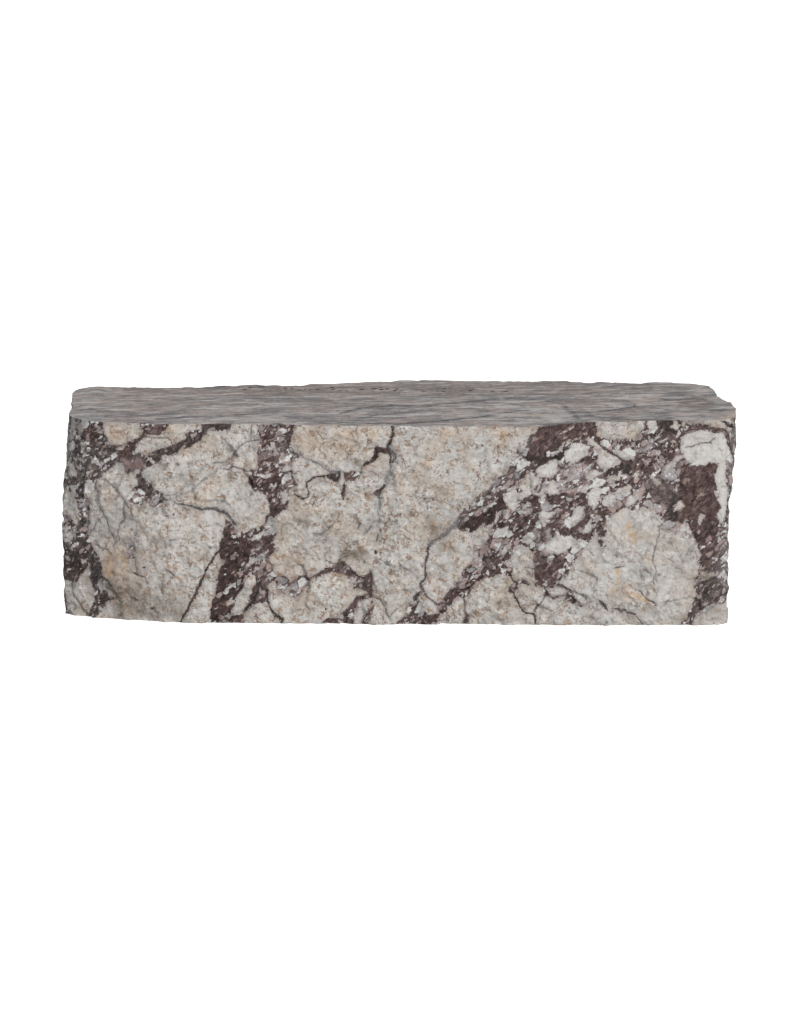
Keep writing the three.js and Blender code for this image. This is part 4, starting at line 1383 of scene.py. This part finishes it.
class Graph:
    """Short calls for the nodes of one material."""

    def __init__(self, material):
        material.use_nodes = True
        self.tree = material.node_tree
        self.tree.nodes.clear()
        self.output = self.add("ShaderNodeOutputMaterial")

    def add(self, kind, **values):
        node = self.tree.nodes.new(kind)
        for name, value in values.items():
            setattr(node, name, value)
        return node

    def feed(self, socket, value):
        """Links a socket, or sets a number or colour on it."""
        if isinstance(value, bpy.types.NodeSocket):
            self.tree.links.new(value, socket)
        elif socket.type == "RGBA":
            socket.default_value = (*value, 1.0)
        else:
            socket.default_value = value

    def math(self, operation, first, second=0.0, clamp=False):
        node = self.add("ShaderNodeMath", operation=operation, use_clamp=clamp)
        for socket, value in zip(node.inputs, (first, second)):
            self.feed(socket, value)
        return node.outputs[0]

    def times(self, first, second, clamp=False):
        return self.math("MULTIPLY", first, second, clamp=clamp)

    def plus(self, first, second):
        return self.math("ADD", first, second)

    def minus(self, first, second):
        return self.math("SUBTRACT", first, second)

    def vector(self, operation, first, second=None, scale=None):
        node = self.add("ShaderNodeVectorMath", operation=operation)
        self.feed(node.inputs[0], first)
        if second is not None:
            self.feed(node.inputs[1], second)
        if scale is not None:
            self.feed(node.inputs["Scale"], scale)
        return node.outputs[0]

    def mix(self, share, first, second):
        node = self.add("ShaderNodeMix", data_type="RGBA", clamp_factor=True)
        self.feed(node.inputs[0], share)
        self.feed(node.inputs[6], first)
        self.feed(node.inputs[7], second)
        return node.outputs[2]

    def step(self, value, low, high, to_low=0.0, to_high=1.0):
        """A smooth rise of value from low to high."""
        node = self.add("ShaderNodeMapRange", interpolation_type="SMOOTHSTEP", clamp=True)
        for socket, number in zip(node.inputs, (value, low, high, to_low, to_high)):
            self.feed(socket, number)
        return node.outputs[0]

    def noise(self, place, size, detail=3.0, roughness=0.55, distortion=0.0):
        """Noise with lumps of a size in mm, from about 0.25 to 0.75."""
        node = self.add("ShaderNodeTexNoise")
        self.feed(node.inputs["Vector"], place)
        self.feed(node.inputs["Scale"], 1.0 / size)
        self.feed(node.inputs["Detail"], detail)
        self.feed(node.inputs["Roughness"], roughness)
        self.feed(node.inputs["Distortion"], distortion)
        return node

    def cells(self, place, size, feature="F1"):
        node = self.add("ShaderNodeTexVoronoi", feature=feature)
        self.feed(node.inputs["Vector"], place)
        self.feed(node.inputs["Scale"], 1.0 / size)
        return node

    def split(self, vector):
        node = self.add("ShaderNodeSeparateXYZ")
        self.feed(node.inputs[0], vector)
        return node.outputs

    def attribute(self, name):
        return self.split(self.add("ShaderNodeAttribute", attribute_name=name).outputs["Vector"])


def stone_place(graph):
    """Object coordinates in millimetres."""
    place = graph.add("ShaderNodeTexCoord").outputs["Object"]
    return graph.vector("SCALE", place, scale=1.0 / MM)


def shifted(graph, place, size, amount):
    """A place pushed about by noise."""
    push = graph.noise(place, size, 2.0).outputs["Color"]
    push = graph.vector("SUBTRACT", push, (0.5, 0.5, 0.5))
    return graph.vector("ADD", place, graph.vector("SCALE", push, scale=amount))


def fragment_pattern(graph, place, share):
    """Small pale fragments in the matrix: how much each place shows, and a number for each."""
    turned = graph.add("ShaderNodeMapping", vector_type="TEXTURE")
    graph.feed(turned.inputs["Vector"], shifted(graph, shifted(graph, place, 12.0, 9.0), 4.0, 3.0))
    turned.inputs["Rotation"].default_value = (0.0, math.radians(-42), 0.0)
    turned.inputs["Scale"].default_value = (1.7, 1.1, 1.0)
    cover = 0.0
    number = 0.0
    for size, share_scale in ((15.0, 0.8), (8.0, 0.9), (4.0, 0.9)):
        cell = graph.cells(turned.outputs[0], size)
        edge = graph.cells(turned.outputs[0], size, "DISTANCE_TO_EDGE").outputs["Distance"]
        pick = graph.split(cell.outputs["Color"])
        margin = graph.minus(graph.times(share, share_scale), pick[0])
        kept = graph.step(margin, -0.02, 0.05)
        here = graph.times(kept, graph.step(edge, 0.02, 0.08))
        here = graph.times(here, graph.step(pick[2], -0.5, 0.6, 0.35, 1.0))
        number = graph.math("MAXIMUM", number, graph.times(here, pick[1]))
        cover = graph.math("MAXIMUM", cover, here)
    return cover, number


def marble_parts(graph, look):
    """The marble's colour and the noises and attributes that it comes from."""
    place = stone_place(graph)
    ground, vein, share = graph.attribute("seams")
    dark, grey, white = graph.attribute("tones")
    ochre, dirt, pink = graph.attribute("stains")
    across, half, specks = graph.attribute("lines")

    elsewhere = graph.vector("ADD", place, (311.0, 97.0, 53.0))
    broad = graph.noise(place, 44.0, 4.0, 0.55).outputs["Fac"]
    middle = graph.noise(place, 11.0, 5.0, 0.68, 0.6).outputs["Fac"]
    fine = graph.noise(place, 3.2, 4.0, 0.7).outputs["Fac"]
    other = graph.noise(elsewhere, 24.0, 5.0, 0.62, 0.8).outputs["Fac"]
    flaky = graph.noise(elsewhere, 8.0, 5.0, 0.66, 1.2).outputs["Fac"]

    wobble = graph.times(graph.minus(middle, 0.5), 15.0)
    wobble = graph.plus(wobble, graph.times(graph.minus(fine, 0.5), 9.0))
    in_ground = graph.step(graph.plus(ground, wobble), -1.1, 1.1)
    around = graph.step(graph.plus(ground, graph.times(wobble, 2.0)), -6.0, 1.0)
    swell = graph.times(half, graph.step(flaky, 0.36, 0.64, 0.3, 1.35))
    line = graph.minus(swell, graph.math("ABSOLUTE", across))
    line = graph.math("MINIMUM", line, graph.plus(vein, 1.6))
    line = graph.plus(line, graph.times(wobble, 0.3))
    gaps = graph.step(graph.plus(fine, graph.times(dark, 0.3)), 0.44, 0.66, 0.15, 1.0)
    in_vein = graph.times(graph.step(line, -0.8, 0.7), gaps)
    beside = graph.step(graph.plus(line, graph.times(wobble, 1.2)), -5.0, 0.8)
    beside = graph.times(beside, graph.step(middle, 0.38, 0.58))

    # The pale stone: greyish white with beige clouds, and brown smudges, lines and flecks in
    # loose clusters.
    cream = graph.mix(graph.times(graph.step(flaky, 0.42, 0.6), 0.7), look.cream, look.chalk)
    cream = graph.mix(graph.times(graph.step(broad, 0.46, 0.66), 0.85), cream, look.beige)
    bluish = graph.times(graph.step(other, 0.52, 0.4), graph.step(broad, 0.56, 0.42))
    cream = graph.mix(graph.times(bluish, 0.3), cream, look.mist)
    often = graph.plus(other, graph.times(specks, 0.25))
    clustered = graph.step(often, 0.47, 0.64)
    smudge = graph.times(graph.step(middle, 0.51, 0.36), clustered)
    cream = graph.mix(graph.times(smudge, 0.9), cream, look.tan)
    ridge = graph.math("ABSOLUTE", graph.minus(flaky, 0.5))
    thread = graph.times(graph.step(ridge, 0.022, 0.0), graph.step(often, 0.5, 0.68, 0.1, 0.8))
    cream = graph.mix(thread, cream, look.umber)
    fleck = graph.times(graph.step(fine, 0.49, 0.36), graph.step(middle, 0.56, 0.42))
    fleck = graph.times(fleck, graph.step(clustered, 0.0, 1.0, 0.15, 0.95))
    cream = graph.mix(fleck, cream, look.brown)
    crack_place = shifted(graph, place, 9.0, 8.0)
    crack = graph.noise(crack_place, 60.0, 3.0, 0.7).outputs["Fac"]
    crack = graph.math("ABSOLUTE", graph.minus(crack, 0.5))
    crack = graph.times(graph.step(crack, 0.02, 0.0), graph.step(other, 0.5, 0.58))
    cream = graph.mix(graph.times(crack, 0.7), cream, look.crevice)
    cream = graph.mix(graph.times(grey, 0.55), cream, look.mist)
    pinkish = graph.times(pink, graph.step(other, 0.38, 0.62))
    cream = graph.mix(graph.times(pinkish, 0.7), cream, look.blush)
    cream = graph.mix(graph.times(white, 0.6), cream, look.chalk)
    rusty = graph.times(ochre, graph.step(middle, 0.36, 0.58))
    cream = graph.mix(graph.times(rusty, 1.0, clamp=True), cream, look.ochre)
    soiled = graph.times(dirt, graph.step(graph.plus(middle, fine), 0.75, 1.1))
    cream = graph.mix(graph.times(soiled, 1.2, clamp=True), cream, look.dirt)
    tinge = graph.times(around, graph.step(flaky, 0.4, 0.6))
    cream = graph.mix(graph.times(tinge, 0.6), cream, look.mauve)

    # The matrix: brown-purple from near black to pinkish, with pale fragments in it.
    cover, number = fragment_pattern(graph, place, graph.times(share, 0.85))
    drawn = graph.add("ShaderNodeMapping", vector_type="TEXTURE")
    graph.feed(drawn.inputs["Vector"], shifted(graph, place, 16.0, 12.0))
    drawn.inputs["Rotation"].default_value = (0.0, math.radians(-42), 0.0)
    drawn.inputs["Scale"].default_value = (2.2, 1.2, 1.0)
    smear = graph.noise(drawn.outputs[0], 5.5, 5.0, 0.72, 0.7).outputs["Fac"]
    tone = graph.minus(smear, graph.times(graph.minus(dark, 0.4), 0.2))
    matrix = graph.mix(graph.step(tone, 0.36, 0.5), look.night, look.matrix)
    matrix = graph.mix(graph.step(tone, 0.5, 0.68), matrix, look.mauve)
    sooty = graph.mix(graph.step(tone, 0.4, 0.62), look.soot, look.slate)
    matrix = graph.mix(graph.times(grey, 0.85), matrix, sooty)
    shard = graph.mix(graph.step(number, 0.15, 0.55), look.blush, look.mist)
    shard = graph.mix(graph.step(number, 0.4, 0.8), shard, look.chalk)
    shard = graph.mix(graph.step(flaky, 0.5, 0.38, 0.0, 0.5), shard, look.mauve)
    matrix = graph.mix(cover, matrix, shard)

    core = graph.mix(graph.step(grey, 0.1, 0.6), look.crevice, look.vein_grey)
    deep = graph.plus(dark, graph.times(graph.minus(0.5, flaky), 2.4))
    core = graph.mix(graph.step(deep, 0.2, 0.8), core, look.night)
    soft = graph.mix(grey, look.mauve, look.vein_grey)

    colour = graph.mix(in_ground, cream, matrix)
    faint = graph.times(beside, graph.step(dark, 0.0, 1.0, 0.06, 0.34))
    colour = graph.mix(faint, colour, soft)
    colour = graph.mix(graph.times(in_vein, graph.step(dark, 0.1, 0.7, 0.7, 0.97)), colour, core)
    return {
        "place": place, "colour": colour, "in_vein": in_vein, "cover": cover, "crack": crack,
        "broad": broad, "middle": middle, "fine": fine, "other": other, "flaky": flaky,
        "dark": dark, "grey": grey, "pink": pink, "white": white, "dirt": dirt, "ochre": ochre,
        "vein": line,
    }


def chip_height(graph, place, size, bowl, tilt):
    """Broken chips of a size in mm: a bowl in each and a slope of its own, as a height in mm."""
    cell = graph.cells(place, size)
    height = graph.times(graph.math("POWER", cell.outputs["Distance"], 2.0), bowl)
    seed = graph.vector("SCALE", cell.outputs["Position"], scale=size)
    offset = graph.vector("SUBTRACT", place, seed)
    slope = graph.vector("SUBTRACT", cell.outputs["Color"], (0.5, 0.5, 0.5))
    lean = graph.add("ShaderNodeVectorMath", operation="DOT_PRODUCT")
    graph.feed(lean.inputs[0], offset)
    graph.feed(lean.inputs[1], slope)
    return graph.plus(height, graph.times(lean.outputs["Value"], tilt))


def split_marble(look):
    """The broken sides: matt, with chips too fine for the mesh."""
    material = bpy.data.materials.new("split breccia marble")
    graph = Graph(material)
    parts = marble_parts(graph, look)
    warped = shifted(graph, parts["place"], 12.0, 8.0)
    height = graph.times(parts["fine"], 0.35)
    height = graph.plus(height, graph.times(parts["flaky"], 1.1))
    height = graph.plus(height, graph.times(parts["middle"], 1.4))
    height = graph.plus(height, chip_height(graph, warped, 13.0, 1.3, 0.4))
    height = graph.plus(height, chip_height(graph, warped, 6.0, 0.4, 0.24))
    height = graph.minus(height, graph.times(parts["crack"], 0.5))
    height = graph.minus(height, graph.times(parts["in_vein"], 0.7))
    height = graph.plus(height, graph.times(parts["cover"], 0.3))
    finish_material(graph, parts["colour"], height, 0.8, 0.1, 0.25, parts)
    return material


def sawn_marble(look):
    """The sawn top and underside: flat, greyer, with a low sheen and drawn-out cloudy lines. Their
    colours are darker than the split sides', partly as painted shade.
    """
    material = bpy.data.materials.new("sawn breccia marble")
    graph = Graph(material)
    parts = marble_parts(graph, look)
    place = parts["place"]
    drawn = graph.add("ShaderNodeMapping", vector_type="TEXTURE")
    graph.feed(drawn.inputs["Vector"], shifted(graph, place, 70.0, 30.0))
    drawn.inputs["Rotation"].default_value = (0.0, 0.0, math.radians(5))
    drawn.inputs["Scale"].default_value = (5.5, 1.0, 1.0)
    cloud = graph.noise(drawn.outputs[0], 30.0, 5.0, 0.62, 0.5).outputs["Fac"]
    streak = graph.noise(drawn.outputs[0], 11.0, 5.0, 0.7, 0.4).outputs["Fac"]
    # The darker honed colours carry painted shade as well as the sawn stone's own grey.
    base = graph.mix(graph.step(cloud, 0.45, 0.59), look.honed_shaded, look.honed_pale)
    ridge = graph.math("ABSOLUTE", graph.minus(streak, 0.5))
    thin = graph.times(graph.step(ridge, 0.03, 0.0), graph.step(parts["other"], 0.42, 0.56))
    base = graph.mix(graph.times(graph.step(parts["broad"], 0.48, 0.6), 0.7), base, look.honed_pink)
    base = graph.mix(graph.times(parts["pink"], 0.75), base, look.honed_pink)
    base = graph.mix(graph.times(parts["white"], 0.8), base, look.honed_pale)
    base = graph.mix(graph.times(parts["grey"], 0.6), base, look.honed_grey)
    base = graph.mix(graph.times(parts["dirt"], 0.7), base, look.honed_brown)
    base = graph.mix(graph.times(parts["ochre"], 0.5), base, look.ochre)
    base = graph.mix(graph.times(graph.step(streak, 0.51, 0.63), 0.8), base, look.honed_grey)
    base = graph.mix(graph.times(graph.step(streak, 0.46, 0.36), 0.75), base, look.honed_pale)
    line = graph.mix(parts["dark"], look.honed_grey, look.honed_dark)
    base = graph.mix(graph.times(thin, 0.9), base, look.honed_dark)
    ragged = graph.times(graph.minus(streak, 0.5), 30.0)
    soft_vein = graph.step(graph.plus(parts["vein"], ragged), -2.5, 2.5)
    strength = graph.step(parts["dark"], 0.0, 0.8, 0.2, 0.85)
    base = graph.mix(graph.times(soft_vein, strength), base, line)
    # The pits and the rear notch are painted night-dark: painted shade in hollows that are only a bump.
    shaded_pits = pit_row(graph, place)
    base = graph.mix(shaded_pits, base, look.night)
    height = graph.times(parts["fine"], 0.06)
    height = graph.plus(height, graph.times(streak, 0.15))
    height = graph.minus(height, graph.times(shaded_pits, 2.5))
    finish_material(graph, base, height, 0.72, 0.1, 0.1, parts)
    return material


def pit_row(graph, place):
    """Small broken pits in a row along the rear of the top, in irregular groups."""
    x, y, z = graph.split(place)
    bent = shifted(graph, place, 9.0, 7.0)
    cell = graph.cells(bent, 13.0)
    pick = graph.split(cell.outputs["Color"])
    dot = graph.step(cell.outputs["Distance"], 0.4, 0.26)
    kept = graph.step(pick[0], 0.42, 0.48)
    centre = graph.minus(PIT_ROW_Y, graph.times(x, 0.05))
    off = graph.math("ABSOLUTE", graph.minus(y, centre))
    in_row = graph.step(off, PIT_ROW_WIDTH, PIT_ROW_WIDTH * 0.5)
    starts = graph.step(x, PIT_ROW_FROM - 4, PIT_ROW_FROM + 4)
    stops = graph.step(x, PIT_ROW_TO + 4, PIT_ROW_TO - 4)
    on_top = graph.step(z, HEIGHT * 0.5, HEIGHT * 0.6)
    row = graph.times(graph.times(dot, kept), graph.times(in_row, on_top))
    row = graph.times(row, graph.times(starts, stops))
    nx, ny, reach = REAR_NOTCH
    far_x = graph.math("DIVIDE", graph.minus(x, nx), reach)
    far_y = graph.math("DIVIDE", graph.minus(y, ny), 5.0)
    far = graph.plus(graph.times(far_x, far_x), graph.times(far_y, far_y))
    notch = graph.times(graph.step(far, 1.2, 0.7), on_top)
    return graph.math("MAXIMUM", row, notch)


def finish_material(graph, colour, height, roughness, spread, specular, parts):
    shader = graph.add("ShaderNodeBsdfPrincipled")
    graph.feed(shader.inputs["Base Color"], colour)
    varied = graph.step(parts["middle"], 0.3, 0.7, roughness - spread, roughness + spread)
    graph.feed(shader.inputs["Roughness"], varied)
    shader.inputs["IOR"].default_value = 1.5
    shader.inputs["Specular IOR Level"].default_value = specular
    bump = graph.add("ShaderNodeBump")
    bump.inputs["Distance"].default_value = MM
    bump.inputs["Strength"].default_value = 1.0
    graph.feed(bump.inputs["Height"], height)
    graph.feed(shader.inputs["Normal"], bump.outputs[0])
    graph.feed(graph.output.inputs["Surface"], shader.outputs[0])


def floor_material(look):
    material = bpy.data.materials.new("pale floor")
    graph = Graph(material)
    shader = graph.add("ShaderNodeBsdfPrincipled")
    shader.inputs["Base Color"].default_value = (*look.floor, 1.0)
    shader.inputs["Roughness"].default_value = 0.9
    shader.inputs["Specular IOR Level"].default_value = 0.1
    shader.inputs["Emission Color"].default_value = (1.0, 1.0, 1.0, 1.0)
    seen = graph.add("ShaderNodeLightPath").outputs["Is Camera Ray"]
    graph.feed(shader.inputs["Emission Strength"], graph.times(seen, look.floor_glow))
    graph.feed(graph.output.inputs["Surface"], shader.outputs[0])
    return material


# ---------------------------------------------------------------- settings


def stone_colour(name, words, value):
    return FloatVectorProperty(
        name=name, description=words, default=value, size=3, min=0, max=1, subtype="COLOR"
    )


def light_strength(name, words, value):
    return FloatProperty(name=name, description=words, default=value, min=0, max=20)


class MarbleLook(bpy.types.PropertyGroup):
    """Colours and light of the block."""

    cream: stone_colour("Cream", "Most of the pale stone", (0.49, 0.468, 0.44))
    beige: stone_colour("Beige", "Clouds in the pale stone", (0.41, 0.355, 0.30))
    chalk: stone_colour("Chalk", "The whitest stone", (0.545, 0.535, 0.52))
    tan: stone_colour("Tan", "Brown smudges in the pale stone", (0.30, 0.205, 0.135))
    brown: stone_colour("Brown", "Flecks in the crevices", (0.15, 0.09, 0.066))
    umber: stone_colour("Umber", "Greyish-brown mottling", (0.25, 0.20, 0.16))
    blush: stone_colour("Blush", "Pinkish stone", (0.34, 0.26, 0.24))
    mist: stone_colour("Mist", "Bluish-grey stone", (0.29, 0.29, 0.295))
    ochre: stone_colour("Ochre", "Rust stains", (0.47, 0.29, 0.14))
    dirt: stone_colour("Dirt", "Olive-brown soil", (0.13, 0.10, 0.072))
    matrix: stone_colour("Matrix", "The brown-purple ground", (0.072, 0.043, 0.038))
    mauve: stone_colour("Mauve", "Lighter mottling in the ground", (0.185, 0.13, 0.12))
    slate: stone_colour("Slate", "Grey ground", (0.16, 0.155, 0.15))
    soot: stone_colour("Soot", "Dark grey ground", (0.04, 0.037, 0.035))
    night: stone_colour("Night", "The darkest ground", (0.024, 0.016, 0.015))
    vein_grey: stone_colour("Vein grey", "Thin grey veins", (0.10, 0.095, 0.095))
    crevice: stone_colour("Crevice", "Thin brown veins and cracks", (0.12, 0.08, 0.066))
    # The sawn faces' colours are darker than the split stone's: partly the greyer stone of a sawn face,
    # partly painted shade on the top.
    honed_shaded: stone_colour("Honed", "Most of the sawn top", (0.228, 0.208, 0.2))
    honed_pale: stone_colour("Honed pale", "Pale parts of the sawn top", (0.42, 0.4, 0.39))
    honed_grey: stone_colour("Honed grey", "Grey parts of the sawn top", (0.12, 0.12, 0.13))
    honed_pink: stone_colour("Honed pink", "Pink parts of the sawn top", (0.36, 0.295, 0.265))
    honed_brown: stone_colour("Honed brown", "Brown parts of the sawn top", (0.19, 0.145, 0.122))
    honed_dark: stone_colour("Honed dark", "Veins of the sawn top", (0.055, 0.052, 0.056))
    floor: stone_colour("Floor", "The floor", (0.45, 0.45, 0.45))
    floor_glow: FloatProperty(
        name="Floor glow", description="Glow that keeps the floor pale to the camera",
        default=1.0, min=0, max=2,
    )
    sky: light_strength("Sky", "Brightness of the even light", 0.34)
    key: light_strength("Key", "Strength of the soft front light", 3.35)
    fill: light_strength("Fill", "Strength of the side light", 0.5)
    rear: light_strength("Rear", "Strength of the light on the back", 0.75)


class MarbleBlockSettings(bpy.types.PropertyGroup):
    """Everything that a user would change."""

    look: PointerProperty(type=MarbleLook, name="Look", description="Colours and light of the block")
    camera_distance: FloatProperty(
        name="Camera distance", description="From the middle of the block",
        default=5.8, min=1, unit="LENGTH",
    )
    camera_elevation: FloatProperty(
        name="Camera elevation", description="Angle above the floor", default=math.radians(14.21),
        min=0, max=math.radians(89), subtype="ANGLE",
    )
    camera_lens: FloatProperty(name="Lens", description="Focal length in mm", default=110.2, min=10)
    camera_aim: FloatProperty(
        name="Aim height", description="Height that the camera looks at",
        default=0.1583, min=0, unit="LENGTH",
    )
    floor_size: FloatProperty(
        name="Floor size", description="Length of the floor's sides",
        default=120.0, min=1, unit="LENGTH",
    )
    camera_sideways: FloatProperty(
        name="Sideways", description="How far the camera stands to the right",
        default=0.005, unit="LENGTH",
    )


# ---------------------------------------------------------------- operators


class MARBLE_OT_block(bpy.types.Operator):
    """Carve the marble block and stand it in for its solid"""

    bl_idname = "marble.block"
    bl_label = "Carve block"

    def execute(self, context):
        mesh = carve_block()
        stone = bpy.data.objects.new("marble_block_stone", mesh)
        context.collection.objects.link(stone)
        look = settings().look
        mesh.materials.append(split_marble(look))
        mesh.materials.append(sawn_marble(look))
        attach(stone, "root")
        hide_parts(NODE)
        return {"FINISHED"}


class MARBLE_OT_stage(bpy.types.Operator):
    """Lay the pale floor and set the soft light and the camera"""

    bl_idname = "marble.stage"
    bl_label = "Set stage"

    def execute(self, context):
        look = settings().look
        lay_floor(context, look)
        set_light(context, look)
        set_camera(context)
        return {"FINISHED"}


def lay_floor(context, look):
    bm = bmesh.new()
    bmesh.ops.create_grid(bm, x_segments=1, y_segments=1, size=settings().floor_size / 2)
    mesh = bpy.data.meshes.new("floor")
    bm.to_mesh(mesh)
    bm.free()
    floor = bpy.data.objects.new("floor", mesh)
    context.collection.objects.link(floor)
    mesh.materials.append(floor_material(look))


def add_sun(context, name, strength, azimuth, elevation, softness):
    """A soft distant light. Azimuth 0 shines along +Y and 90 along -X."""
    lamp = bpy.data.lights.new(name, "SUN")
    lamp.energy = strength
    lamp.angle = math.radians(softness)
    holder = bpy.data.objects.new(name, lamp)
    a, e = math.radians(azimuth), math.radians(elevation)
    source = Vector((math.sin(a) * math.cos(e), -math.cos(a) * math.cos(e), math.sin(e)))
    holder.rotation_euler = source.to_track_quat("Z", "Y").to_euler()
    holder.location = source * 3.0
    context.collection.objects.link(holder)


def set_light(context, look):
    scene = context.scene
    world = bpy.data.worlds.new("studio")
    world.use_nodes = True
    world.node_tree.nodes["Background"].inputs["Color"].default_value = (1.0, 1.0, 1.0, 1.0)
    world.node_tree.nodes["Background"].inputs["Strength"].default_value = look.sky
    scene.world = world
    for name, setting, azimuth, elevation, softness in LIGHTS:
        add_sun(context, name, getattr(look, setting), azimuth, elevation, softness)
    scene.view_settings.view_transform = "Standard"


def set_camera(context):
    chosen = settings()
    lens = bpy.data.cameras.new("camera")
    lens.lens = chosen.camera_lens
    lens.sensor_width = 36.0
    lens.clip_end = 500.0
    camera = bpy.data.objects.new("camera", lens)
    e = chosen.camera_elevation
    back = Vector((0.0, -math.cos(e), math.sin(e)))
    aim = Vector((chosen.camera_sideways, 0.0, chosen.camera_aim))
    camera.location = aim + back * chosen.camera_distance
    camera.rotation_euler = back.to_track_quat("Z", "Y").to_euler()
    context.collection.objects.link(camera)
    context.scene.camera = camera


class MARBLE_PT_panel(bpy.types.Panel):
    """Lists the steps that make the block"""

    bl_idname = "MARBLE_PT_panel"
    bl_label = "Marble Block"
    bl_space_type = "VIEW_3D"
    bl_region_type = "UI"
    bl_category = "Marble Block"

    def draw(self, context):
        layout = self.layout
        layout.operator("marble.block")
        layout.operator("marble.stage")
        column = layout.column(align=True)
        for name in MarbleBlockSettings.__annotations__:
            if name != "look":
                column.prop(context.scene.marble_block, name)
        column = layout.column(align=True)
        for name in MarbleLook.__annotations__:
            column.prop(context.scene.marble_block.look, name)


CLASSES = (MarbleLook, MarbleBlockSettings, MARBLE_OT_block, MARBLE_OT_stage, MARBLE_PT_panel)


def register():
    for cls in CLASSES:
        bpy.utils.register_class(cls)
    bpy.types.Scene.marble_block = PointerProperty(type=MarbleBlockSettings)


def unregister():
    del bpy.types.Scene.marble_block
    for cls in reversed(CLASSES):
        bpy.utils.unregister_class(cls)


def main():
    register()
    bpy.ops.marble.block()
    bpy.ops.marble.stage()


if __name__ == "__main__":
    main()
